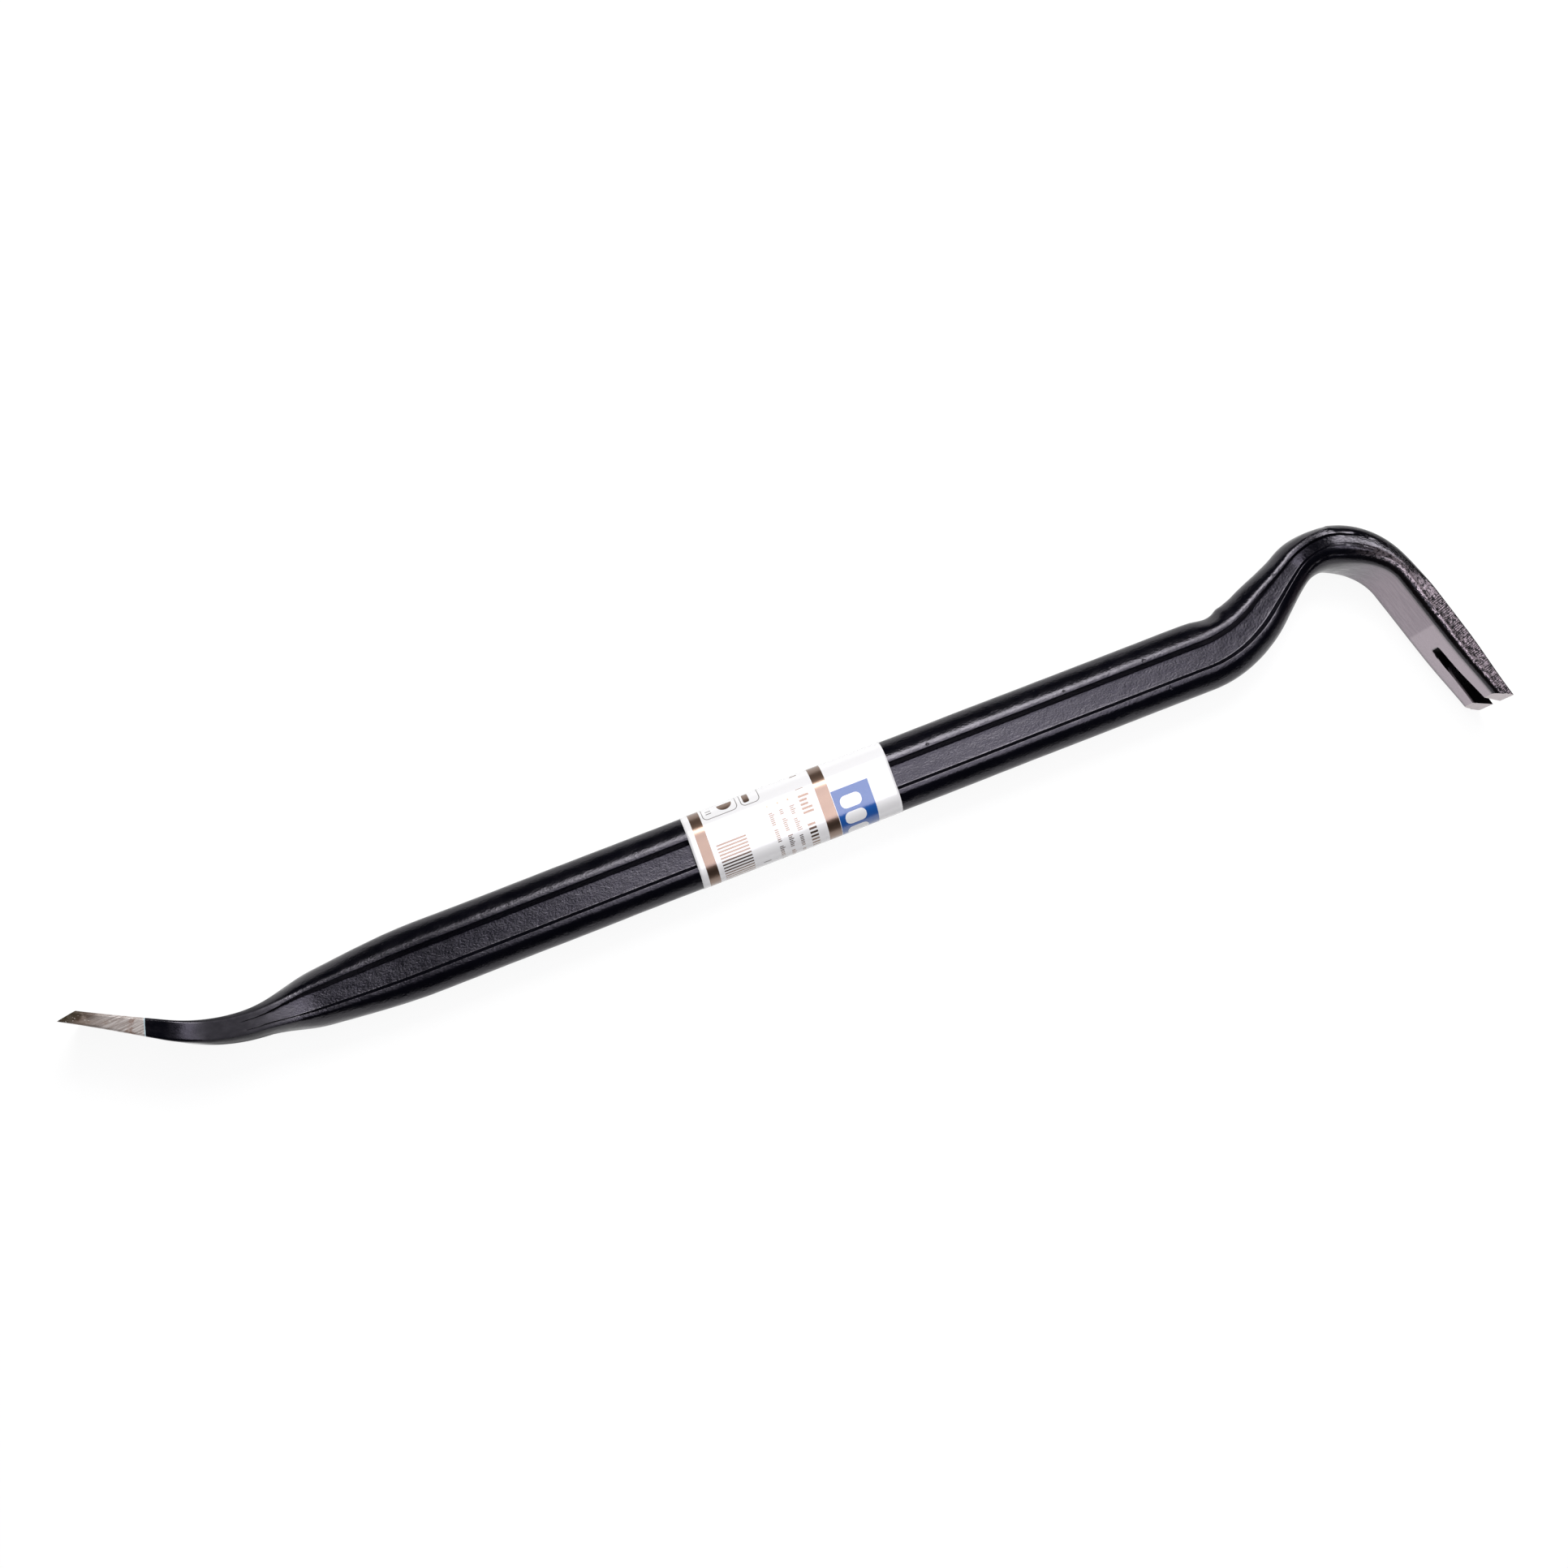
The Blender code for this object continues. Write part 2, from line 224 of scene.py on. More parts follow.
def depth_at(along):
    """Depth of the bar in the plane of its bends."""
    return smooth_through((
        (0.0, BLADE_EDGE_DEPTH),
        (BLADE_LENGTH, BLADE_ROOT_DEPTH),
        (BLADE_HEEL, BLADE_HEEL_DEPTH),
        (BLADE_HEEL + TAPER_WAIST, TAPER_WAIST_DEPTH),
        (SHANK_FROM, SHANK_DEPTH),
        (NECK_FROM, SHANK_DEPTH),
        (RISE_FROM, NECK_DEPTH),
        (CROWN_FROM, RISE_DEPTH),
        (SHOULDER_FROM, CROWN_DEPTH),
        (CLAW_FROM, CLAW_ROOT_DEPTH),
        (CLAW_FROM + CLAW_WAIST, CLAW_WAIST_DEPTH),
        (CLAW_END, CLAW_TIP_DEPTH),
    ), along)


def width_at(along):
    """Width of the bar sideways, over the ribs where it has them."""
    return smooth_through((
        (BLADE_LENGTH, BLADE_WIDTH),
        (BLADE_HEEL, BLADE_HEEL_WIDTH),
        (BLADE_HEEL + TAPER_WAIST, TAPER_WAIST_WIDTH),
        (SHANK_FROM, RIB_THICKNESS),
        (CROWN_FROM, RIB_THICKNESS),
        (SHOULDER_FROM, CROWN_WIDTH),
        (CLAW_FROM, CLAW_WIDTH),
    ), along)


def flatness_at(along):
    """0 where the section is the shank's oval, 1 where it is a flat bar's rectangle."""
    return smooth_through((
        (BLADE_LENGTH, 1.0),
        (BLADE_HEEL + TAPER_WAIST, 0.0),
        (CROWN_FROM, 0.0),
        (CLAW_FROM, 1.0),
    ), along)


def channel_at(along):
    """Share of their full depth that the channels have: all on the shank, none where they
    run out in the blade's heel and over the crown."""
    return smooth_through((
        (BLADE_HEEL - CHANNEL_START, 0.0),
        (BLADE_HEEL - CHANNEL_START / 2.0, 0.15),
        (BLADE_HEEL + CHANNEL_DIP / 2.0, 0.6),
        (BLADE_HEEL + TAPER_WAIST, 1.0),
        (CROWN_FROM, 1.0),
        (SHOULDER_FROM, 0.75),
        (SHOULDER_FROM + CHANNEL_RUN_OUT, 0.0),
    ), along)


def rounded_off_at(along):
    """Share of its full rounding that the outer side has, from the step on the crown until
    the claw."""
    return smooth_step(*ROUNDING_START, along) * (1.0 - smooth_step(*ROUNDING_STOP, along))


def channel_shift_at(along):
    """How far outward of the centreline the channels' middle lies."""
    return smooth_through((
        (BLADE_HEEL, HEEL_SHIFT),
        (BLADE_HEEL + CHANNEL_DIP, DIP_SHIFT),
        (SHANK_FROM, SHANK_SHIFT),
        (NECK_FROM, SHANK_SHIFT),
        (CROWN_FROM, CROWN_SHIFT),
        (SHOULDER_FROM, SHOULDER_SHIFT),
    ), along)


# A quarter of a section runs from the middle of a broad side (0) over the channel's floor
# (1), wall (2) and rib (3), round to the middle of a narrow edge (9). On a flat bar 0 to 3
# is half a side, 3 to 6 the corner and 6 to 9 half a face.
FACE_STEPS = 15
QUARTER = np.concatenate((
    np.linspace(0.0, 0.9, 5),
    np.linspace(0.9, 1.1, 6)[1:],
    (1.5,),
    np.linspace(1.9, 2.1, 5),
    np.linspace(2.1, 3.0, 4)[1:],
    np.linspace(3.0, 6.0, 12)[1:],
    np.interp(np.arange(1, FACE_STEPS + 1), (0, 5, 11, FACE_STEPS), (6.0, 8.1, 8.6, 9.0)),
))
STEPS = len(QUARTER) - 1
RING = 4 * STEPS
ring_part = np.concatenate((QUARTER[::-1], QUARTER[1:], QUARTER[-2::-1], QUARTER[1:-1]))
ring_number = np.arange(RING)
ring_outer = (ring_number > STEPS) & (ring_number < 3 * STEPS)
ring_up = np.where(ring_number <= 2 * STEPS, 1.0, -1.0)


def section(along, part, outer):
    """Outward and sideways distances of points of the bar's section, both positive for the
    outer and upper quarter. The oval's quarter is an ellipse whose middle is cut off level
    with the ribs. The flat bar's is a rectangle with a side that leans in by its draft and
    a corner that is part of an ellipse. The two are mixed by the flatness, and then the
    channel is sunk by its depth times one less a ramp from its floor to its mouth."""
    depth = depth_at(along)
    width = width_at(along)
    share = depth / SHANK_DEPTH
    shift = channel_shift_at(along)
    toward = np.where(outer, shift, -shift)
    rib_edge = RIB_EDGE + toward
    rounded_off = rounded_off_at(along)
    on_crown = (smooth_step(RISE_FROM, CROWN_FROM, along)
                * (1.0 - smooth_step(SHOULDER_FROM, CLAW_END, along)))
    rib_fall = np.where(outer, OUTER_RIB_FALL + CROWN_RIB_FALL * rounded_off,
                        INNER_RIB_FALL + CROWN_INNER_FALL * on_crown)
    first = np.arcsin(2.0 * rib_edge / SHANK_DEPTH)
    angle = first + (np.maximum(part, 3.0) - 3.0) / 6.0 * (np.pi / 2.0 - first)
    over_crown = smooth_step(RISE_FROM, SHOULDER_FROM, along)
    at_heel = smooth_step(BLADE_HEEL + CHANNEL_DIP, BLADE_HEEL, along)
    narrowed = (1.0 - (1.0 - CHANNEL_CROWN_WIDTH) * over_crown
                - (1.0 - CHANNEL_HEEL_WIDTH) * at_heel)
    steeper = 1.0 - smooth_step(NECK_FROM, RISE_FROM, along)
    floor_extra = np.where(outer, 0.0, INNER_FLOOR_EXTRA) * steeper
    wall_width = (CHANNEL_MOUTH - CHANNEL_FLOOR - floor_extra) / 2.0
    floor_half = CHANNEL_MOUTH / 2.0 - wall_width * np.maximum(channel_at(along), LEAST_WALL)
    floor_at = narrowed * floor_half + toward
    mouth_at = narrowed * CHANNEL_MOUTH / 2.0 + toward
    across = np.where(part < 1.0, part * floor_at,
                      np.where(part < 2.0, floor_at + (part - 1.0) * (mouth_at - floor_at),
                               mouth_at + (part - 2.0) * (rib_edge - mouth_at)))
    oval_out = np.where(part < 3.0, across * share, depth / 2.0 * np.sin(angle))
    edge_side = width / 2.0 - rib_fall
    ellipse = np.sqrt(np.maximum(1.0 - (2.0 * oval_out / depth)**2, 0.0))
    round_side = edge_side / np.cos(first) * ellipse
    beyond = (oval_out / share - CHANNEL_FLOOR / 2.0) / (rib_edge - CHANNEL_FLOOR / 2.0)
    beyond = np.clip(beyond, 0.0, FALL_REACH)
    rib_side = width / 2.0 - rib_fall * beyond**2 + CREST_ROUNDING / 2.0
    rib_side = np.minimum(rib_side, width / 2.0 + CREST_PROUD)
    oval_side = soft_least(round_side, rib_side, CREST_ROUNDING)
    oval_side = np.where(part >= 9.0, 0.0, np.minimum(oval_side, round_side))

    on_claw = along > CROWN_FROM
    inner_claw = on_claw & ~outer
    draft = np.where(inner_claw, CLAW_DRAFT, 0.0)
    outer_corner = CLAW_OUTER_CORNER + CROWN_CORNER * rounded_off
    inner_corner = CLAW_INNER_CORNER + CROWN_INNER_CORNER * on_crown
    corner = np.where(on_claw, np.where(outer, outer_corner, inner_corner), BLADE_CORNER)
    roll = np.where(inner_claw, CLAW_INNER_ROLL, corner)
    face_half = depth / 2.0 - corner
    level = width / 2.0 - draft - roll
    turn = np.clip((part - 3.0) / 3.0, 0.0, 1.0) * np.pi / 2.0
    up_side = np.clip(part / 3.0, 0.0, 1.0)
    flat_out = face_half * up_side + corner * np.sin(turn)
    flat_side = np.where(part < 6.0, width / 2.0 - draft * up_side - roll * (1.0 - np.cos(turn)),
                         level * (9.0 - part) / 3.0)

    flatness = flatness_at(along)
    out = oval_out * (1.0 - flatness) + flat_out * flatness
    side = oval_side * (1.0 - flatness) + flat_side * flatness
    signed = np.where(outer, out, -out) / share
    place = np.abs(signed - shift) / narrowed
    place = (place - floor_half) / (CHANNEL_MOUTH / 2.0 - floor_half)
    wall = soft_ramp(place, CHANNEL_FOOT_ROUNDING, CHANNEL_MOUTH_ROUNDING)
    sunk = CHANNEL_DEPTH * channel_at(along) * (1.0 - wall)
    return out, side - np.where(part < 3.0, np.maximum(sunk, 0.0), 0.0)


def ground_end(end, bevel, depth, sign):
    """Where each point of the ring ends, on the plane that is ground across the bar's end.
    It slopes by the bevel over the end's depth. The point's own section depends on where it
    ends, so the place is found by going round a few times."""
    along = np.full(RING, end)
    for _ in range(4):
        out, _ = section(along, ring_part, ring_outer)
        signed = np.where(ring_outer, out, -out)
        along = end + sign * bevel * (0.5 + sign * signed / depth)
    return along


TIP_POINTS = 6
SIDE_POINTS = 4
ROOT_POINTS = FACE_STEPS + 1 - TIP_POINTS - SIDE_POINTS


def slot_outline(end, mouth, root):
    """Outline of the nail slot on one face of the claw, from the claw's edge to the slot's
    middle, as places along and sideways: the prong's tip, the slot's straight side, which
    narrows evenly from mouth to root, and a quarter of the root's circle."""
    radius = root / 2.0
    centre = CLAW_END - SLOT_LENGTH + radius
    lip = mouth / 2.0 + (radius - mouth / 2.0) * (CLAW_END - end) / (CLAW_END - centre)
    inner = CLAW_INNER_ROLL + CLAW_DRAFT if end < CLAW_END else CLAW_OUTER_CORNER
    tip = np.linspace(CLAW_WIDTH / 2.0 - inner, lip, TIP_POINTS)
    side = np.linspace(0.0, 1.0, SIDE_POINTS + 1)[1:]
    angle = np.linspace(np.pi / 2.0, 0.0, ROOT_POINTS + 1)[1:]
    along = np.concatenate((np.full(TIP_POINTS, end), end + (centre - end) * side,
                            centre - radius * np.cos(angle)))
    sideways = np.concatenate((tip, lip + (radius - lip) * side, radius * np.sin(angle)))
    return along, sideways


# Rows of points along the bar, closer together where it bends and where the claw is cut
ROW_STEPS = (
    (0.0, 0.0011),
    (SHANK_FROM, 0.0028),
    (NECK_FROM, 0.0008),
    (CLAW_FROM, 0.0007),
    (CLAW_END, None),
)
rows = np.concatenate([
    np.linspace(start, stop, round((stop - start) / step), endpoint=False)
    for (start, step), (stop, _) in zip(ROW_STEPS, ROW_STEPS[1:])
] + [[CLAW_END]])

# Near the two ends the rows close up on the ground planes and on the slot's outline
BLADE_ZONE = 0.014
SLOT_LEAD = 0.007
SLOT_ZONE = CLAW_END - SLOT_LENGTH - SLOT_LEAD
blade_end = ground_end(0.0, BLADE_BEVEL, BLADE_EDGE_DEPTH, 1.0)
claw_end = ground_end(CLAW_END, CLAW_BEVEL, CLAW_TIP_DEPTH, -1.0)
near_blade = np.clip((BLADE_ZONE - rows) / BLADE_ZONE, 0.0, 1.0)[:, None]
near_claw = np.clip((rows - SLOT_ZONE) / (CLAW_END - SLOT_ZONE), 0.0, 1.0)[:, None]

upper_inner = np.arange(FACE_STEPS, -1, -1)
upper_outer = np.arange(2 * STEPS - FACE_STEPS, 2 * STEPS + 1)
slot_along = claw_end.copy()
slot_side = np.zeros(RING)
on_face = np.zeros(RING, dtype=bool)
for upper, mouth, root in ((upper_inner, SLOT_INNER_MOUTH, SLOT_INNER_ROOT),
                           (upper_outer, SLOT_OUTER_MOUTH, SLOT_OUTER_ROOT)):
    outline_along, outline_side = slot_outline(claw_end[upper[0]], mouth, root)
    lower = (4 * STEPS - upper) % RING
    for half, up in ((upper, 1.0), (lower, -1.0)):
        slot_along[half] = outline_along
        slot_side[half] = outline_side * up
        on_face[half] = True

along = np.broadcast_to(rows[:, None], (len(rows), RING))
along = np.where(near_blade > 0.0, BLADE_ZONE + near_blade * (blade_end - BLADE_ZONE), along)
along = np.where(near_claw > 0.0, SLOT_ZONE + near_claw * (slot_along - SLOT_ZONE), along)
part = np.broadcast_to(ring_part, along.shape)
outer = np.broadcast_to(ring_outer, along.shape)
out, side = section(along, part, outer)
outward = np.where(outer, out, -out)
sideways = side * ring_up


def bar_point(along, outward, sideways):
    """World places of points of the bar: off the centreline square to its heading."""
    x, y, heading = centreline(along)
    return np.stack((x - outward * np.sin(heading), y + outward * np.cos(heading),
                     sideways), axis=-1)


# How many waves make up the unevenness, and how their directions and heights are scaled
WAVES = 14
WAVE_STRETCH = (0.45, 1.0, 1.0)
WAVE_SPREAD = 1.4
WAVE_GAIN = 0.28


def forging_waves(along, outward, sideways, length, seed):
    """Slow unevenness between 0 and 1: the mean of sine waves, each in a direction of its
    own through the bar's space, of about the given length, with a phase of its own."""
    draw = np.random.default_rng(seed)
    total = np.zeros_like(along)
    for _ in range(WAVES):
        direction = draw.normal(size=3) * WAVE_STRETCH
        number = 2.0 * np.pi / length * direction / WAVE_SPREAD
        phase = draw.uniform(0.0, 2.0 * np.pi)
        angle = along * number[0] + outward * number[1] + sideways * number[2] + phase
        total = total + np.sin(angle)
    return np.clip(0.5 + WAVE_GAIN * total / np.sqrt(WAVES), 0.0, 1.0)


smooth_points = bar_point(along, outward, sideways).reshape(-1, 3)

# Sinks, which leave the blade and the claw flat: waves and ripples all over, a step across
# the crown, and a dent with a ridge behind it on the neck. The pairs are where each one
# sets in, along the bar or as a share of the way out to its outer edge.
FORGED_START = (BLADE_LENGTH - 0.006, BLADE_LENGTH + 0.012)
FORGED_STOP = (CLAW_FROM - 0.006, CLAW_FROM + 0.004)
WAVE_DEPTH = 0.00016
WAVE_LENGTH = 0.021
RIPPLE_DEPTH = 0.00007
RIPPLE_LENGTH = 0.0055
STEP_DEPTH = 0.00045
STEP_START = (STEP_PLACE - 0.016, STEP_PLACE - 0.002)
STEP_STOP = (STEP_PLACE - 0.0006, STEP_PLACE + 0.0004)
STEP_OUTER = (0.35, 0.75)
DENT_DEPTH = 0.0014
DENT_PLACE = NECK_FROM + 0.0105
DENT_LENGTH = 0.0075
RIDGE_HEIGHT = 0.0004
RIDGE_PLACE = NECK_FROM + 0.0185
RIDGE_LENGTH = 0.0024
DENT_OUTER = (0.55, 0.98)
forged = smooth_step(*FORGED_START, along) * (1.0 - smooth_step(*FORGED_STOP, along))
sink = forged * (WAVE_DEPTH * forging_waves(along, outward, sideways, WAVE_LENGTH, 5)
                 + RIPPLE_DEPTH * forging_waves(along, outward, sideways, RIPPLE_LENGTH, 8))
before_step = smooth_step(*STEP_START, along) * (1.0 - smooth_step(*STEP_STOP, along))
how_far_out = outward / depth_at(along) * 2.0
sink = sink + STEP_DEPTH * before_step * smooth_step(*STEP_OUTER, how_far_out)
dent = (DENT_DEPTH * np.exp(-((along - DENT_PLACE) / DENT_LENGTH)**2)
        - RIDGE_HEIGHT * np.exp(-((along - RIDGE_PLACE) / RIDGE_LENGTH)**2))
sink = sink + dent * smooth_step(*DENT_OUTER, how_far_out)
reach = np.hypot(outward, sideways)
outward = outward * (1.0 - sink / reach)
sideways = sideways * (1.0 - sink / reach)
first_side = sideways[np.searchsorted(rows, SLOT_ZONE) - 1]
sideways = np.where(on_face & (near_claw > 0.0),
                    first_side + near_claw * (slot_side - first_side), sideways)

# The inner face is drawn in ahead of the slot's root, most in the middle
RAMP_LENGTH = 0.0078
RAMP_END = 1.15
RAMP_HALF_WIDTH = (0.0026, 0.0047)
RAMP_DEPTH = 0.0068
TORN_FROM = 0.04
ramp_from = CLAW_END - SLOT_LENGTH - RAMP_LENGTH
drawn_in = (smooth_step(ramp_from, ramp_from + RAMP_END * RAMP_LENGTH, along)
            * (1.0 - smooth_step(*RAMP_HALF_WIDTH, np.abs(sideways))))
outward = outward + np.where(on_face & ~outer, RAMP_DEPTH * drawn_in, 0.0)


def end_cap(row, first):
    """Grid across the bar's end, from its inner face to its outer one, and the ring numbers
    of the grid's two edges. Each line is straight, so over the slot it is the slot's wall."""
    inner = np.concatenate((upper_inner, (RING - upper_inner[::-1][1:]) % RING))
    outer_face = np.concatenate((upper_outer, 4 * STEPS - upper_outer[::-1][1:]))
    share = np.linspace(0.0, 1.0, CAP_STEPS + 1)[1:-1, None]
    unbent = np.stack((along[row], outward[row], sideways[row]), axis=-1)
    grid = unbent[inner] * (1.0 - share[..., None]) + unbent[outer_face] * share[..., None]
    numbers = first + np.arange(grid.shape[0] * grid.shape[1]).reshape(grid.shape[:2])
    base = row * RING
    lines = np.vstack((base + inner, numbers, base + outer_face))
    return grid.reshape(-1, 3), lines


CAP_STEPS = 8
TIP_CELLS = 5
unbent = np.stack((along, outward, sideways), axis=-1).reshape(-1, 3)
grids = [unbent]
number = np.arange(len(rows) * RING).reshape(len(rows), RING)
following = np.roll(number, -1, axis=1)
cells = np.stack((number[:-1], number[1:], following[1:], following[:-1]), axis=-1)
quads = [cells.reshape(-1, 4)]
sides = []
bare = [np.zeros(len(quads[0]), dtype=np.int32)]
count = len(unbent)
for row in (0, len(rows) - 1):
    grid, lines = end_cap(row, count)
    grids.append(grid)
    count += len(grid)
    cells = np.stack((lines[:-1, :-1], lines[1:, :-1], lines[1:, 1:], lines[:-1, 1:]), axis=-1)
    quads.append(cells.reshape(-1, 4) if row == 0 else cells.reshape(-1, 4)[:, ::-1])
    column = np.arange(cells.shape[1])
    on_tip = (column < TIP_CELLS) | (column >= cells.shape[1] - TIP_CELLS)
    on_tip = on_tip & (row > 0)
    bare.append(np.broadcast_to(on_tip, cells.shape[:2]).reshape(-1).astype(np.int32))
    base = row * RING
    upper = np.concatenate((base + np.arange(FACE_STEPS, 2 * STEPS - FACE_STEPS + 1),
                            lines[-2:0:-1, 0]))
    lower = np.concatenate((base + np.arange(2 * STEPS + FACE_STEPS, RING - FACE_STEPS + 1),
                            lines[1:-1, -1]))
    sides += [upper[::-1], lower[::-1]] if row == 0 else [upper, lower]
unbent = np.concatenate(grids)
quads = np.concatenate(quads)


def new_mesh(name, points, faces):
    """Mesh object at the origin over points and faces, with every face turned outwards."""
    mesh = bpy.data.meshes.new(name)
    mesh.from_pydata(points.tolist(), [], [list(map(int, face)) for face in faces])
    turned = bmesh.new()
    turned.from_mesh(mesh)
    bmesh.ops.recalc_face_normals(turned, faces=turned.faces)
    turned.to_mesh(mesh)
    turned.free()
    made = bpy.data.objects.new(name, mesh)
    bpy.context.scene.collection.objects.link(made)
    return made


points = bar_point(unbent[:, 0], unbent[:, 1], unbent[:, 2])
bar_low, bar_high = (np.array(corner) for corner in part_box("forged_bar"))
points += (bar_low + bar_high) / 2.0
points -= (smooth_points.min(axis=0) + smooth_points.max(axis=0)) / 2.0
bar = new_mesh("crowbar_forging", points, list(quads) + sides)
bare = np.concatenate(bare + [np.array([0, 0, 1, 1], dtype=np.int32)])
# Faces drawn in ahead of the slot's root take the third material, which paints them in shade
torn = drawn_in.reshape(-1)[np.minimum(quads, along.size - 1)].max(axis=1) > TORN_FROM
torn = torn & (quads < along.size).all(axis=1) & (on_face & ~ring_outer)[quads[:, 0] % RING]
bare[:len(quads)][torn] = 2
bar.data.polygons.foreach_set("material_index", bare)

# Which of its colours each place has: the claw's inner face, and the bar's sides. Both
# start part of the way through the corner between them, by the quarter's numbers.
INNER_FACE = (5.7, 6.3)
SIDE_FACE = (4.6, 3.0)
caps = len(unbent) - along.size
inner_face = np.where(outer, 0.0, smooth_step(*INNER_FACE, part)) * (along > CROWN_FROM)
inner_face = inner_face * (1.0 - smooth_step(0.0, TORN_FROM, drawn_in))
side_face = smooth_step(*SIDE_FACE, part)
zone = np.stack((inner_face, side_face, np.zeros_like(part)), axis=-1).reshape(-1, 3)
zone = np.concatenate((zone, np.zeros((caps, 3))))
place = bar.data.attributes.new("zone", "FLOAT_VECTOR", "POINT")
place.data.foreach_set("vector", zone.astype(np.float32).ravel())
place = bar.data.attributes.new("unbent", "FLOAT_VECTOR", "POINT")
place.data.foreach_set("vector", unbent.astype(np.float32).ravel())
EDGE_ANGLE = np.radians(32.0)
EDGE_BREAK = 0.00025
bar.data.shade_smooth()
bar.data.set_sharp_from_angle(angle=EDGE_ANGLE)
bevel = bar.modifiers.new("broken_edges", "BEVEL")
bevel.limit_method = "ANGLE"
bevel.angle_limit = EDGE_ANGLE
bevel.width = EDGE_BREAK
bevel.segments = 2


def colour(text):
    """Linear red, green, blue and alpha of an sRGB hex colour: each channel is divided by
    12.92 near black, and elsewhere raised to 2.4 after an offset of 0.055."""
    channels = np.array([int(text[i:i + 2], 16) for i in (1, 3, 5)]) / 255.0
    linear = np.where(channels <= 0.04045, channels / 12.92, ((channels + 0.055) / 1.055)**2.4)
    return (*linear, 1.0)


def add_node(tree, kind, *values, **settings):
    """Add a shader node and give it its settings. Then link or set, in their order, the
    inputs that the settings leave in use, and return the first output in use."""
    made = tree.nodes.new("ShaderNode" + kind)
    for name, value in settings.items():
        setattr(made, name, value)
    for socket, value in zip([socket for socket in made.inputs if socket.enabled], values):
        if isinstance(value, bpy.types.NodeSocket):
            tree.links.new(value, socket)
        else:
            socket.default_value = value
    return next(socket for socket in made.outputs if socket.enabled)


def new_material(name):
    """Empty material with a Principled shader, as (material, node tree, shader)."""
    material = bpy.data.materials.new(name)
    material.use_nodes = True
    return material, material.node_tree, material.node_tree.nodes["Principled BSDF"]


# Black lacquer over forging scale: a thin glossy coat that lets the scale's grain show. Each
# noise has the size of its patches in metres, how far they are drawn out along, outward and
# sideways, how often they are halved, and how strong each half is.
NOISES = {
    "stipple": (0.0008, (1.3, 1.0, 1.0), 3.0, 0.6),
    "scale_waves": (0.0030, (1.6, 1.0, 1.0), 2.0, 0.5),
    "mottle": (0.0011, (1.3, 1.0, 1.0), 4.0, 0.7),
    "stroke_bend": (0.0022, (1.0, 3.0, 3.0), 1.0, 0.5),
    "stroke_strength": (0.0030, (1.0, 1.0, 1.0), 1.0, 0.5),
    "coat_patches": (0.020, (1.0, 1.0, 1.0), 2.0, 0.5),
    "drawn_scale": (0.0016, (7.0, 1.0, 1.0), 3.0, 0.6),
    "dip_wave": (0.003, (1.0, 1.0, 1.0), 2.0, 0.5),
    "steel_patches": (0.0034, (2.0, 1.0, 1.0), 5.0, 0.65),
    "specks": (0.0007, (1.4, 1.0, 1.0), 1.0, 0.5),
}

# Each mask goes smoothly from one value to another (the last two numbers) while its source
# goes from one level to another (the first two). The source is how far along the bar, how
# far outward or how far up a place lies, in metres, or else a noise.
MASKS = {
    "on_claw": ("along", SHOULDER_FROM - 0.006, CLAW_FROM, 0.0, 1.0),
    "off_blade": ("along", 0.060, 0.105, 0.25, 1.0),
    "trimmed_from": ("along", 0.6165, 0.6190, 0.0, 1.0),
    "strong_stroke": ("stroke_strength", 0.36, 0.50, 0.0, 1.0),
    "fold_start": ("along", 0.572, 0.578, 0.0, 1.0),
    "fold_stop": ("along", 0.604, 0.612, 1.0, 0.0),
    "fold_above": ("upward", 0.004, 0.006, 0.0, 1.0),
    "drawn_coat": ("drawn_scale", 0.35, 0.65, 0.0, 1.0),
    "bare_prongs": ("along", 0.6268, 0.6282, 0.0, 1.0),
    "outer_part": ("outward", -0.0005, 0.0015, 0.0, 1.0),
    "claw_root": ("along", CLAW_FROM - 0.002, CLAW_FROM + 0.010, 1.0, 0.0),
    "wear": ("mottle", 0.40, 0.56, 0.0, 1.0),
    "worn_claw": ("along", SHOULDER_FROM, CLAW_FROM + 0.010, 0.0, 1.0),
    "behind_edge": ("along", 0.006, 0.026, 0.0, 1.0),
    "rust": ("steel_patches", 0.42, 0.58, 0.0, 1.0),
    "stain": ("steel_patches", 0.54, 0.66, 0.0, 1.0),
    "specks": ("specks", 0.69, 0.74, 0.0, 1.0),
    "coat_roughness": ("scale_waves", 0.3, 0.7, 0.17, 0.25),
    "thick_start": ("along", 0.050, 0.060, 0.0, 1.0),
    "thick_stop": ("along", 0.070, 0.098, 0.42, 0.0),
}
SMOOTH = {"interpolation_type": "SMOOTHSTEP"}
COLOURS = {"data_type": "RGBA"}
BUMP_FILTER = 0.1

# Heights and depths of what the coat shows, in metres
STIPPLE_HEIGHT = 0.00010
SCALE_HEIGHT = 0.00009
MOTTLE_HEIGHT = 0.00018
STROKE_DEPTH = 0.00025
FOLD_DEPTH = 0.00030
PIT_DEPTH = 0.00003
NICK_DEPTH = 0.00012

# One pit lies somewhere in each cell of a grid of this spacing, and its radius is a share
# of it. Each nick in the ribs is given by how far along and outward it lies and its size.
PIT_SPACING = 0.0035
PIT_EDGE = (0.04, 0.11)
NICKS = ((0.4696, 0.0062, 0.0016), (0.4330, 0.0066, 0.0012), (0.3710, 0.0064, 0.0013),
         (0.4760, -0.0084, 0.0011), (0.2050, 0.0072, 0.0010), (0.5420, 0.0050, 0.0012))
NICK_EDGE = (0.10, 0.7)
NICK_WOBBLE = 0.0022

# Strokes across the outer part of the claw's trimmed sides: their pitch, how far they bend
# and how wide they are, in strokes
SIDE_RAGGEDNESS = 1.6
SIDE_BORDER = (0.60, 0.80)
TRIMMED_WAVE = 0.004
TRIMMED_OVER = (0.0010, 0.0018)
STROKE_PITCH = 0.00085
STROKE_BEND = 2.2
STROKE_EDGE = (0.04, 0.22)

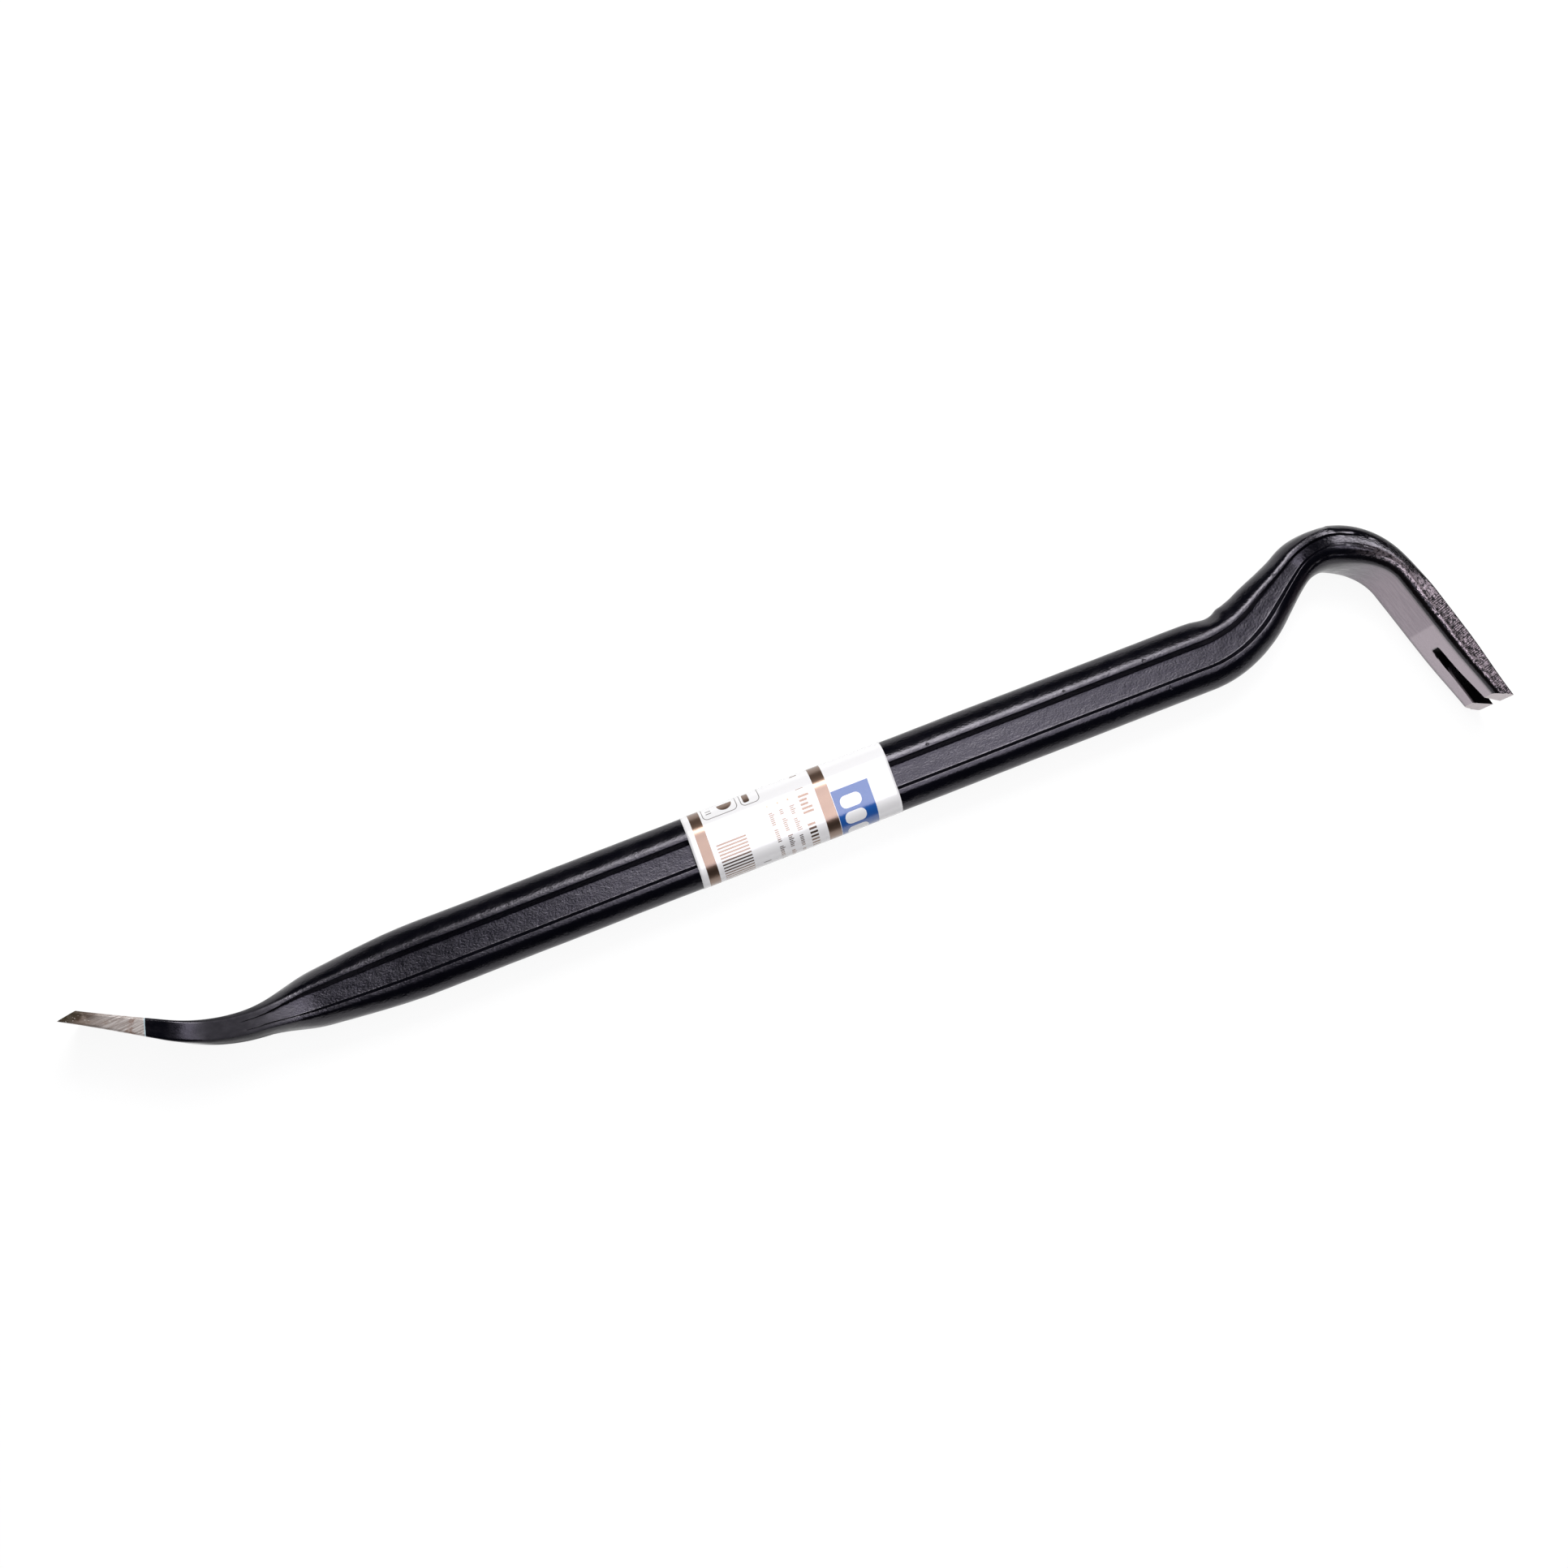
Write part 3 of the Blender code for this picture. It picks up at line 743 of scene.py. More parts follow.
# Fold across the crown: how far outward of the centreline it lies at its middle, how much
# nearer it comes per metre, and how far it wanders
FOLD_MIDDLE = 0.575
FOLD_OUTWARD = 0.0027
FOLD_SLOPE = 0.066
FOLD_WANDER = 0.0018
FOLD_HALF_WIDTH = (0.0001, 0.0005)

# The blade's bare steel reaches to the line that it was dipped to, which slants and waves
STEEL_UNTIL = 0.0348
EDGE_FROM = 0.0343
DIP_SLANT = 0.25
DIP_WAVE = 0.0006
BEVEL_STAIN = (0.0050, 0.0100, 0.75, 0.0)
BEVEL_SLANT = 0.9
STREAK_SLANT = 1.5
STREAK_PITCH = 0.0007
STREAK_LENGTH = 0.0040
STREAK_LEVELS = (0.36, 0.64)

lacquer, tree, shader = new_material("black_lacquer_on_forging_scale")
unbent_place = add_node(tree, "Attribute", attribute_name="unbent").node.outputs["Vector"]
from_tip, outward_of, sideways_of = add_node(tree, "SeparateXYZ", unbent_place).node.outputs
zone_share = add_node(tree, "Attribute", attribute_name="zone").node.outputs["Vector"]
inner_zone, side_zone, _ = add_node(tree, "SeparateXYZ", zone_share).node.outputs
noises = {}
for name, (size, stretch, detail, roughness) in NOISES.items():
    scaled = add_node(tree, "VectorMath", unbent_place, tuple(1.0 / (size * k) for k in stretch),
                      operation="MULTIPLY")
    noises[name] = add_node(tree, "TexNoise", scaled, 1.0, detail, roughness)
upward = add_node(tree, "Math", sideways_of, operation="ABSOLUTE")
sources = {"along": from_tip, "outward": outward_of, "upward": upward, **noises}
masks = {name: add_node(tree, "MapRange", sources[source], *levels, **SMOOTH)
         for name, (source, *levels) in MASKS.items()}

# The claw's trimmed sides, with a ragged border where the mottle decides
ragged = add_node(tree, "Math", noises["mottle"], 0.5, operation="SUBTRACT")
ragged = add_node(tree, "Math", ragged, SIDE_RAGGEDNESS, operation="MULTIPLY")
ragged = add_node(tree, "Math", side_zone, ragged, operation="ADD")
on_side = add_node(tree, "MapRange", ragged, *SIDE_BORDER, **SMOOTH)
claw_side = add_node(tree, "Math", masks["on_claw"], on_side, operation="MULTIPLY")
trimmed = add_node(tree, "Math", noises["stroke_bend"], TRIMMED_WAVE, operation="MULTIPLY")
trimmed = add_node(tree, "Math", outward_of, trimmed, operation="ADD")
trimmed = add_node(tree, "MapRange", trimmed, *TRIMMED_OVER, **SMOOTH)
trimmed = add_node(tree, "Math", masks["trimmed_from"], trimmed, operation="MULTIPLY")
trimmed = add_node(tree, "Math", trimmed, claw_side, operation="MULTIPLY")
stroke_number = add_node(tree, "Math", from_tip, 1.0 / STROKE_PITCH, operation="MULTIPLY")
stroke_turn = add_node(tree, "Math", noises["stroke_bend"], STROKE_BEND, operation="MULTIPLY")
stroke = add_node(tree, "Math", stroke_number, stroke_turn, operation="ADD")
stroke = add_node(tree, "Math", stroke, 0.5, operation="PINGPONG")
stroke = add_node(tree, "MapRange", stroke, *STROKE_EDGE, 1.0, 0.0, **SMOOTH)
stroke = add_node(tree, "Math", stroke, masks["strong_stroke"], operation="MULTIPLY")

# The fold, by how far a place lies from its line
wander = add_node(tree, "Math", noises["stroke_bend"], 0.5, operation="SUBTRACT")
wander = add_node(tree, "Math", wander, FOLD_WANDER, operation="MULTIPLY")
slope = add_node(tree, "Math", from_tip, FOLD_MIDDLE, operation="SUBTRACT")
slope = add_node(tree, "Math", slope, FOLD_SLOPE, operation="MULTIPLY")
off_fold = add_node(tree, "Math", outward_of, slope, operation="ADD")
off_fold = add_node(tree, "Math", off_fold, wander, operation="ADD")
off_fold = add_node(tree, "Math", off_fold, FOLD_OUTWARD, operation="SUBTRACT")
off_fold = add_node(tree, "Math", off_fold, operation="ABSOLUTE")
on_fold = add_node(tree, "MapRange", off_fold, *FOLD_HALF_WIDTH, 1.0, 0.0, **SMOOTH)
fold = masks["fold_start"]
for share in (masks["fold_stop"], on_fold, masks["fold_above"]):
    fold = add_node(tree, "Math", fold, share, operation="MULTIPLY")

# Height of the surface, in metres: scale over all but the blade, less all that is sunk in it
pit = add_node(tree, "VectorMath", unbent_place, (1.0 / PIT_SPACING,) * 3, operation="MULTIPLY")
pit = add_node(tree, "TexVoronoi", pit, 1.0)
pit = add_node(tree, "MapRange", pit, *PIT_EDGE, 1.0, 0.0, **SMOOTH)
height = add_node(tree, "Math", noises["stipple"], STIPPLE_HEIGHT, operation="MULTIPLY")
waves = add_node(tree, "Math", noises["scale_waves"], SCALE_HEIGHT, operation="MULTIPLY")
height = add_node(tree, "Math", height, waves, operation="ADD")
height = add_node(tree, "Math", height, masks["off_blade"], operation="MULTIPLY")
wobble = add_node(tree, "Math", noises["stipple"], 0.5, operation="SUBTRACT")
wobble = add_node(tree, "Math", wobble, NICK_WOBBLE, operation="MULTIPLY")
sunk = [(pit, PIT_DEPTH), (fold, FOLD_DEPTH)]
for nick_along, nick_outward, nick_size in NICKS:
    nick = add_node(tree, "VectorMath", unbent_place,
                    (nick_along, nick_outward, RIB_THICKNESS / 2.0), operation="DISTANCE")
    nick = add_node(tree, "Math", nick, wobble, operation="ADD")
    nick = add_node(tree, "MapRange", nick, *(nick_size * edge for edge in NICK_EDGE), 1.0, 0.0,
                    **SMOOTH)
    sunk.append((nick, NICK_DEPTH))
for mask, sunk_by in sunk:
    sunk_by = add_node(tree, "Math", mask, sunk_by, operation="MULTIPLY")
    height = add_node(tree, "Math", height, sunk_by, operation="SUBTRACT")
for mask, texture, high, operation in ((claw_side, noises["mottle"], MOTTLE_HEIGHT, "ADD"),
                                       (trimmed, stroke, STROKE_DEPTH, "SUBTRACT")):
    high = add_node(tree, "Math", texture, high, operation="MULTIPLY")
    high = add_node(tree, "Math", mask, high, operation="MULTIPLY")
    height = add_node(tree, "Math", height, high, operation=operation)
bump = add_node(tree, "Bump", 1.0, 1.0, BUMP_FILTER, height)

# Colour of the coat: black, and worn from the claw's trimmed sides. Over the claw's inner face
# it is a light pinkish grey, partly the thin coat's own colour and partly a painted reflection
# of the pale floor
black = add_node(tree, "Mix", noises["coat_patches"], colour("#050509"), colour("#0a0a12"),
                 **COLOURS)
# The claw's inner face: thin coat with a painted reflection of the pale floor, lighter still
# towards the prongs' ground ends
thin_coat_and_painted_sheen = add_node(tree, "Mix", masks["drawn_coat"], colour("#8c7e85"), colour("#9b8d93"),
                     **COLOURS)
thin_coat_and_painted_sheen = add_node(tree, "Mix", masks["bare_prongs"], thin_coat_and_painted_sheen, colour("#b1a4a9"), **COLOURS)
inner_side = add_node(tree, "Math", inner_zone, masks["on_claw"], operation="MULTIPLY")
claw_black = add_node(tree, "Mix", inner_side, colour("#0c0a0b"), thin_coat_and_painted_sheen, **COLOURS)
black = add_node(tree, "Mix", masks["on_claw"], black, claw_black, **COLOURS)
still_black = add_node(tree, "Math", masks["outer_part"], masks["claw_root"],
                       operation="MULTIPLY")
dark_stroke = add_node(tree, "Math", trimmed, stroke, operation="MULTIPLY")
worn = claw_side
for share in (masks["wear"], masks["worn_claw"],
              add_node(tree, "Math", 1.0, still_black, operation="SUBTRACT"),
              add_node(tree, "Math", 1.0, dark_stroke, operation="SUBTRACT")):
    worn = add_node(tree, "Math", worn, share, operation="MULTIPLY")
black = add_node(tree, "Mix", worn, black, colour("#a89aa1"), **COLOURS)
black = add_node(tree, "Mix", dark_stroke, black, colour("#0a0809"), **COLOURS)

# Bare ground steel where the blade was dipped short: rusty at the cutting edge, clean and
# streaked by the grinding wheel behind it
dip = add_node(tree, "Math", outward_of, DIP_SLANT, operation="MULTIPLY")
dip = add_node(tree, "Math", from_tip, dip, operation="ADD")
dip_wave = add_node(tree, "Math", noises["dip_wave"], DIP_WAVE, operation="MULTIPLY")
dip = add_node(tree, "Math", dip, dip_wave, operation="ADD")
steel = add_node(tree, "Math", dip, STEEL_UNTIL, operation="LESS_THAN")
edge = add_node(tree, "Math", dip, EDGE_FROM, operation="GREATER_THAN")
edge = add_node(tree, "Math", steel, edge, operation="MULTIPLY")
streak_across = add_node(tree, "Math", outward_of, STREAK_SLANT, operation="MULTIPLY")
streak_across = add_node(tree, "Math", from_tip, streak_across, operation="SUBTRACT")
streaks = add_node(tree, "CombineXYZ", *(
    add_node(tree, "Math", place, 1.0 / size, operation="MULTIPLY")
    for place, size in ((streak_across, STREAK_PITCH), (outward_of, STREAK_LENGTH),
                        (sideways_of, STREAK_LENGTH))))
streaks = add_node(tree, "TexNoise", streaks, 0.7, 5.0, 0.65)
rusty = add_node(tree, "Mix", masks["rust"], colour("#54402f"), colour("#968579"), **COLOURS)
clean = add_node(tree, "MapRange", streaks, *STREAK_LEVELS, **SMOOTH)
clean = add_node(tree, "Mix", clean, colour("#b1a49d"), colour("#ece4df"), **COLOURS)
clean = add_node(tree, "Mix", masks["stain"], clean, colour("#9a7d6f"), **COLOURS)
steel_colour = add_node(tree, "Mix", masks["behind_edge"], rusty, clean, **COLOURS)
bevel_stain = add_node(tree, "Math", outward_of, BEVEL_SLANT, operation="MULTIPLY")
bevel_stain = add_node(tree, "Math", from_tip, bevel_stain, operation="SUBTRACT")
bevel_stain = add_node(tree, "MapRange", bevel_stain, *BEVEL_STAIN, **SMOOTH)
for share, over in ((bevel_stain, "#4c4636"), (masks["specks"], "#e6dcd4"), (edge, "#cfe4ea")):
    steel_colour = add_node(tree, "Mix", share, steel_colour, colour(over), **COLOURS)
surface = add_node(tree, "Mix", steel, black, steel_colour, **COLOURS)
tree.links.new(surface, shader.inputs["Base Color"])

# The thinner the coat, the more the steel shows through it as metal
metallic = add_node(tree, "Math", steel, 0.35, operation="MULTIPLY")
for share, metal in ((worn, 0.35), (inner_side, 0.4)):
    shown = add_node(tree, "Math", share, metal, operation="MULTIPLY")
    metallic = add_node(tree, "Math", metallic, shown, operation="MAXIMUM")
tree.links.new(metallic, shader.inputs["Metallic"])
thick_coat = add_node(tree, "Math", masks["thick_start"], masks["thick_stop"],
                      operation="MULTIPLY")
rough = add_node(tree, "Math", masks["coat_roughness"], thick_coat, operation="ADD")
steel_rough = add_node(tree, "Math", steel, 0.10, operation="MULTIPLY")
rough = add_node(tree, "Math", rough, steel_rough, operation="ADD")
tree.links.new(rough, shader.inputs["Roughness"])
tree.links.new(bump, shader.inputs["Normal"])
shader.inputs["IOR"].default_value = 1.5
shader.inputs["Specular Tint"].default_value = (0.94, 0.89, 1.0, 1.0)
bar.data.materials.append(lacquer)

# Ground steel of the prongs' ends: bare, with a fine grain from the wheel
GRIT_SIZE = (0.0006, 0.0006, 0.0030)
GRIT_HEIGHT = 0.00008
ground, tree, shader = new_material("ground_steel")
unbent_place = add_node(tree, "Attribute", attribute_name="unbent").node.outputs["Vector"]
grit = add_node(tree, "VectorMath", unbent_place, tuple(1.0 / size for size in GRIT_SIZE),
                operation="MULTIPLY")
grit = add_node(tree, "TexNoise", grit, 1.0, 2.0, 0.5)
tint = add_node(tree, "Mix", grit, colour("#b3a8aa"), colour("#d2c8ca"), **COLOURS)
tree.links.new(tint, shader.inputs["Base Color"])
shader.inputs["Metallic"].default_value = 0.8
shader.inputs["Roughness"].default_value = 0.42
bump = add_node(tree, "Bump", 0.4, GRIT_HEIGHT, BUMP_FILTER, grit)
tree.links.new(bump, shader.inputs["Normal"])
bar.data.materials.append(ground)

# Torn steel ahead of the slot's root, painted in shade: near-black, rough and with almost no
# gloss, so it gives back no light
ramp_painted_shade, tree, shader = new_material("torn_steel_painted_shade")
shader.inputs["Base Color"].default_value = colour("#0a090a")
shader.inputs["Roughness"].default_value = 0.9
shader.inputs["Specular IOR Level"].default_value = 0.08
bar.data.materials.append(ramp_painted_shade)
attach(bar, "root")
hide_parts("forged_bar")


# Label: one strip of white film, 0.1 mm thick, printed in bronze, blue and grey. It is
# wound once round the shank, not quite square to it, and stuck to itself on the underside.
LABEL_MIDDLE_X = 0.00405
LABEL_FROM = -0.0464
LABEL_TO = 0.0424
LABEL_SKEW = np.radians(2.0)
FILM_THICKNESS = 0.00012
FILM_GAP = 0.00018
FILM_TURN = 0.0016
FILM_SAG = 0.00006
FILM_WAVE = 0.00005
FILM_WAVE_LENGTH = 0.016
LAP = 0.0080
LAP_CLEARANCE = 0.00002
LAP_RISE = 0.0018
FLAT_POINTS = 16
EDGE_POINTS = 90
TURN_SAMPLES = 9
FILM_ROWS = 81
FILM_COLUMNS = 168
LAP_COLUMNS = 12


def shank_girth():
    """Outline of the shank as the film sees it, once round from the middle of the
    underside by the inner edge: level from rib to rib, which lie unevenly about the middle,
    and part of an ellipse round each edge. Gives outward and sideways distances."""
    reach = SHANK_DEPTH / 2.0
    shift = float(channel_shift_at(np.array([NECK_FROM]))[0])
    top = RIB_THICKNESS / 2.0
    half = []
    for edge, sign, fall in ((RIB_EDGE - shift, -1.0, INNER_RIB_FALL),
                             (RIB_EDGE + shift, 1.0, OUTER_RIB_FALL)):
        first = np.arcsin(edge / reach)
        turn = np.linspace(first, np.pi - first, EDGE_POINTS)
        tall = (top - fall) / np.cos(first)
        flat = np.linspace(0.0, edge, FLAT_POINTS + 1)[:-1] * sign
        half.append((np.concatenate((flat, sign * reach * np.sin(turn), flat[::-1])),
                     np.concatenate((np.full(FLAT_POINTS, -top), -tall * np.cos(turn),
                                     np.full(FLAT_POINTS, top)))))
    return (np.concatenate((half[0][0], half[1][0][::-1][1:])),
            np.concatenate((half[0][1], half[1][1][::-1][1:])))


def taut(girth, values):
    """Outline of the film, which turns over the ribs' edges a little at a time: the mean of
    the shank's outline over a short way round it."""
    turned = np.zeros_like(values)
    offsets = np.linspace(-FILM_TURN, FILM_TURN, TURN_SAMPLES)
    for offset in offsets:
        turned += np.interp(np.mod(girth + offset, girth[-1]), girth, values) / len(offsets)
    return turned


girth_out, girth_up = shank_girth()
girth = np.concatenate(([0.0], np.cumsum(np.hypot(np.diff(girth_out), np.diff(girth_up)))))
half_girth = girth[-1] / 2.0
girth_out, girth_up = taut(girth, girth_out), taut(girth, girth_up)
film_u = np.linspace(LABEL_FROM, LABEL_TO, FILM_ROWS)
film_v = np.concatenate((np.linspace(-half_girth, half_girth, FILM_COLUMNS + 1)[:-1],
                         np.linspace(half_girth, half_girth + LAP, LAP_COLUMNS)))
film_v = np.sort(np.append(film_v, (half_girth - LAP_RISE / 2.0, half_girth - LAP_RISE)))


def film_at(u, v):
    """Inner face of the film: the shank's outline at the distance v round it, moved out by
    the gap, by the film's own thickness where it laps over itself, and by small waves, and
    sunk a little between the ribs by the square of the place between them."""
    around = np.mod(v + half_girth, 2.0 * half_girth)
    out = np.interp(around, girth, girth_out)
    up = np.interp(around, girth, girth_up)
    slope_out = np.interp(around, girth, np.gradient(girth_out, girth))
    slope_up = np.interp(around, girth, np.gradient(girth_up, girth))
    size = np.hypot(slope_out, slope_up)
    on_lap = smooth_step(half_girth - LAP_RISE, half_girth, v)
    lift = FILM_GAP + (FILM_THICKNESS + LAP_CLEARANCE) * on_lap
    lift = lift + FILM_WAVE * forging_waves(u, out, up, FILM_WAVE_LENGTH, 3)
    lift = lift - FILM_SAG * np.clip(1.0 - (out / RIB_EDGE)**2, 0.0, 1.0)
    return out - lift * slope_up / size, up + lift * slope_out / size


u_grid, v_grid = np.meshgrid(film_u, film_v, indexing="ij")
film_out, film_up = film_at(u_grid, v_grid)
middle = np.array(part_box("label_sleeve")).mean(axis=0)
film_points = np.stack((LABEL_MIDDLE_X + u_grid + film_out * np.tan(LABEL_SKEW),
                        middle[1] + film_out, middle[2] + film_up), axis=-1).reshape(-1, 3)
number = np.arange(u_grid.size).reshape(u_grid.shape)
cells = np.stack((number[:-1, :-1], number[1:, :-1], number[1:, 1:], number[:-1, 1:]), axis=-1)
label = new_mesh("printed_film_label", film_points, cells.reshape(-1, 4))
attribute = label.data.attributes.new("print_place", "FLOAT_VECTOR", "POINT")
attribute.data.foreach_set("vector", np.stack((u_grid, v_grid, np.zeros_like(u_grid)),
                                              axis=-1).astype(np.float32).ravel())
label.data.shade_smooth()
thicken = label.modifiers.new("film_thickness", "SOLIDIFY")
thicken.thickness = FILM_THICKNESS
thicken.offset = -1.0

# The film is glossy all over, and its bronze ink holds metal flakes. MM turns the sizes of
# the print, which are in millimetres, to metres.
MM = 0.001
film, tree, shader = new_material("printed_polypropylene_film")
print_place = add_node(tree, "Attribute", attribute_name="print_place").node.outputs["Vector"]
print_v = add_node(tree, "SeparateXYZ", print_place).node.outputs["Y"]


def patch(*rectangle):
    """1 inside a rectangle with round corners, else 0: the distance by which a place lies
    outside the rectangle less its corners is compared with the corners' radius."""
    u_low, u_high, v_low, v_high, corner = (size * MM for size in rectangle)
    middle = ((u_low + u_high) / 2.0, (v_low + v_high) / 2.0, 0.0)
    half = ((u_high - u_low) / 2.0 - corner, (v_high - v_low) / 2.0 - corner, 1.0)
    off = add_node(tree, "VectorMath", print_place, middle, operation="SUBTRACT")
    off = add_node(tree, "VectorMath", off, operation="ABSOLUTE")
    off = add_node(tree, "VectorMath", off, half, operation="SUBTRACT")
    off = add_node(tree, "VectorMath", off, (0.0, 0.0, 0.0), operation="MAXIMUM")
    off = add_node(tree, "VectorMath", off, operation="LENGTH")
    return add_node(tree, "Math", off, corner + LEAST_CORNER, operation="LESS_THAN")


def either(masks):
    """1 where any of the masks is."""
    whole = masks[0]
    for mask in masks[1:]:
        whole = add_node(tree, "Math", whole, mask, operation="MAXIMUM")
    return whole


def outlined(u_low, u_high, v_low, v_high, corner, line):
    """Thin line round a rectangle: the rectangle less one that is a line's width smaller."""
    inside = patch(u_low + line, u_high - line, v_low + line, v_high - line, corner - line)
    return add_node(tree, "Math", patch(u_low, u_high, v_low, v_high, corner), inside,
                    operation="SUBTRACT", use_clamp=True)


def word_bars(u_low, u_high, v_low, v_high, pitch, first):
    """A line of print without letters: upright strokes at an even pitch, of two heights,
    broken by a gap after every few, where each stroke's number picks its height."""
    count = add_node(tree, "Math", print_v, 1.0 / (pitch * MM), operation="MULTIPLY")
    count = add_node(tree, "Math", count, first, operation="ADD")
    stroke_mask = add_node(tree, "Math", count, operation="FRACT")
    stroke_mask = add_node(tree, "Math", stroke_mask, STROKE_SHARE, operation="LESS_THAN")
    word = add_node(tree, "Math", count, 1.0 / WORD_STROKES, operation="MULTIPLY")
    word = add_node(tree, "Math", word, operation="FRACT")
    word = add_node(tree, "Math", word, GAP_SHARE, operation="GREATER_THAN")
    stroke_mask = add_node(tree, "Math", stroke_mask, word, operation="MULTIPLY")
    drawn = add_node(tree, "Math", count, operation="FLOOR")
    drawn = add_node(tree, "TexWhiteNoise", drawn, noise_dimensions="1D")
    drawn = add_node(tree, "Math", drawn, LOW_STROKES, operation="GREATER_THAN")
    tall = patch(u_low, u_high, v_low, v_high, 0.0)
    tall = add_node(tree, "Math", tall, drawn, operation="MULTIPLY")
    low = patch(u_low, u_high - (u_high - u_low) * LOW_CUT, v_low, v_high, 0.0)
    return add_node(tree, "Math", stroke_mask, either((low, tall)), operation="MULTIPLY")


# A rectangle is given by where it starts and ends along the bar, where it starts and ends
# round it, and its corners' radius. An outlined one has its line's width after that, and a
# line of strokes has the strokes' pitch and the first one's number instead of a radius.
LEAST_CORNER = 0.000001
STROKE_SHARE = 0.52
WORD_STROKES = 9.0
GAP_SHARE = 0.17
LOW_STROKES = 0.70
LOW_CUT = 0.28
STRIPE_PITCH = 1.4
STRIPE_SHARE = 0.45
DISC_CUT = 16.2
BRONZE_DISC = (-30.7, -24.3, 12.5, 18.9, 3.19)
STRIPED_BLOCK = (-36.4, -23.4, -32.2, -0.7, 0.0)
BRONZE_PATCHES = (
    (-43.4, -38.7, -100.0, 100.0, 0.0),
    (9.7, 15.2, -100.0, 100.0, 0.0),
    (-2.6, -1.8, 6.0, 8.0, 0.38),
    (-7.1, -6.3, 6.2, 8.2, 0.38),
    (-11.7, -10.9, 6.4, 8.4, 0.38),
    (2.0, 5.0, 16.4, 17.2, 0.0),
    (-19.6, -17.0, 12.0, 17.4, 0.8),
)
STROKE_LINES = (
    (2.1, 6.7, -34.0, 9.0, 1.75, 3.0),
    (-2.5, -0.4, -34.0, 3.6, 0.80, 11.0),
    (-7.1, -5.0, -34.0, 3.6, 0.80, 27.0),
    (-11.7, -9.5, -34.0, 3.6, 0.80, 40.0),
)
OUTLINED_BOXES = (
    (-37.7, -22.4, 10.6, 30.0, 2.2, 0.35),
    (-20.9, -12.6, 10.5, 30.0, 2.2, 0.35),
)
GREY_RULES = (
    (-36.0, -33.6, 13.2, 13.7, 0.0),
    (-36.0, -33.6, 14.6, 15.1, 0.0),
    (-19.6, -16.4, -16.1, -15.5, 0.0),
)
BLUE_PANEL = (15.4, 31.8, -24.0, 2.8, 0.0)
LOZENGES = (
    (17.8, 27.0, -6.0, -0.6, 2.4),
    (17.8, 27.0, -13.0, -7.6, 2.4),
    (17.8, 27.0, -20.0, -14.6, 2.4),
)
half_disc = add_node(tree, "Math", print_v, DISC_CUT * MM, operation="LESS_THAN")
half_disc = add_node(tree, "Math", patch(*BRONZE_DISC), half_disc, operation="MULTIPLY")
stripes = add_node(tree, "Math", print_v, 1.0 / (STRIPE_PITCH * MM), operation="MULTIPLY")
stripes = add_node(tree, "Math", stripes, operation="FRACT")
stripes = add_node(tree, "Math", stripes, STRIPE_SHARE, operation="LESS_THAN")
stripes = add_node(tree, "Math", patch(*STRIPED_BLOCK), stripes, operation="MULTIPLY")
bronze = either([half_disc, stripes] + [patch(*row) for row in BRONZE_PATCHES]
                + [word_bars(*row) for row in STROKE_LINES])
lines = either([outlined(*row) for row in OUTLINED_BOXES] + [patch(*row) for row in GREY_RULES])
lozenges = either([patch(*row) for row in LOZENGES])
ink = colour("#f6f5f5")
for mask, over in ((lines, "#8a8684"), (bronze, "#866c5b"), (patch(*BLUE_PANEL), "#1c58a8"),
                   (lozenges, "#f6f5f5")):
    ink = add_node(tree, "Mix", mask, ink, colour(over), **COLOURS)
tree.links.new(ink, shader.inputs["Base Color"])
metallic = add_node(tree, "Math", bronze, 0.85, operation="MULTIPLY")
tree.links.new(metallic, shader.inputs["Metallic"])
rough = add_node(tree, "Math", bronze, 0.12, operation="MULTIPLY")
rough = add_node(tree, "Math", rough, 0.24, operation="ADD")
tree.links.new(rough, shader.inputs["Roughness"])
shader.inputs["IOR"].default_value = 1.5
shader.inputs["Coat Weight"].default_value = 1.0
shader.inputs["Coat Roughness"].default_value = 0.24
shader.inputs["Coat IOR"].default_value = 1.6
label.data.materials.append(film)
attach(label, "root")
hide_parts("label_sleeve")


# Floor, walls and lamps: a pale table under two panels of light that lie along the shank, a
# softbox over the bar's outer side and a weaker panel overhead, in an otherwise dark room.
FLOOR_HALF = 4.0
FLOOR_LEVEL = -0.0002
corners = np.array([(x * FLOOR_HALF, y * FLOOR_HALF, FLOOR_LEVEL)
                    for x, y in ((-1, -1), (1, -1), (1, 1), (-1, 1))])
floor = new_mesh("floor", corners, [(0, 1, 2, 3)])
paper, tree, shader = new_material("white_paper")
tree.nodes.remove(shader)
ray = add_node(tree, "LightPath").node.outputs
seen = add_node(tree, "Math", ray["Is Camera Ray"], ray["Is Glossy Ray"], operation="MAXIMUM")
seen = add_node(tree, "Math", seen, ray["Is Transmission Ray"], operation="MAXIMUM")
matt = add_node(tree, "BsdfDiffuse", colour("#f2f2f2"))
faint = add_node(tree, "BsdfDiffuse", (0.12, 0.12, 0.12, 1.0))
glow = add_node(tree, "Emission", (1.0, 1.0, 1.0, 1.0), 0.92)
shown = add_node(tree, "AddShader", faint, glow)
shown = add_node(tree, "MixShader", seen, matt, shown)
tree.links.new(shown, tree.nodes["Material Output"].inputs["Surface"])
floor.data.materials.append(paper)

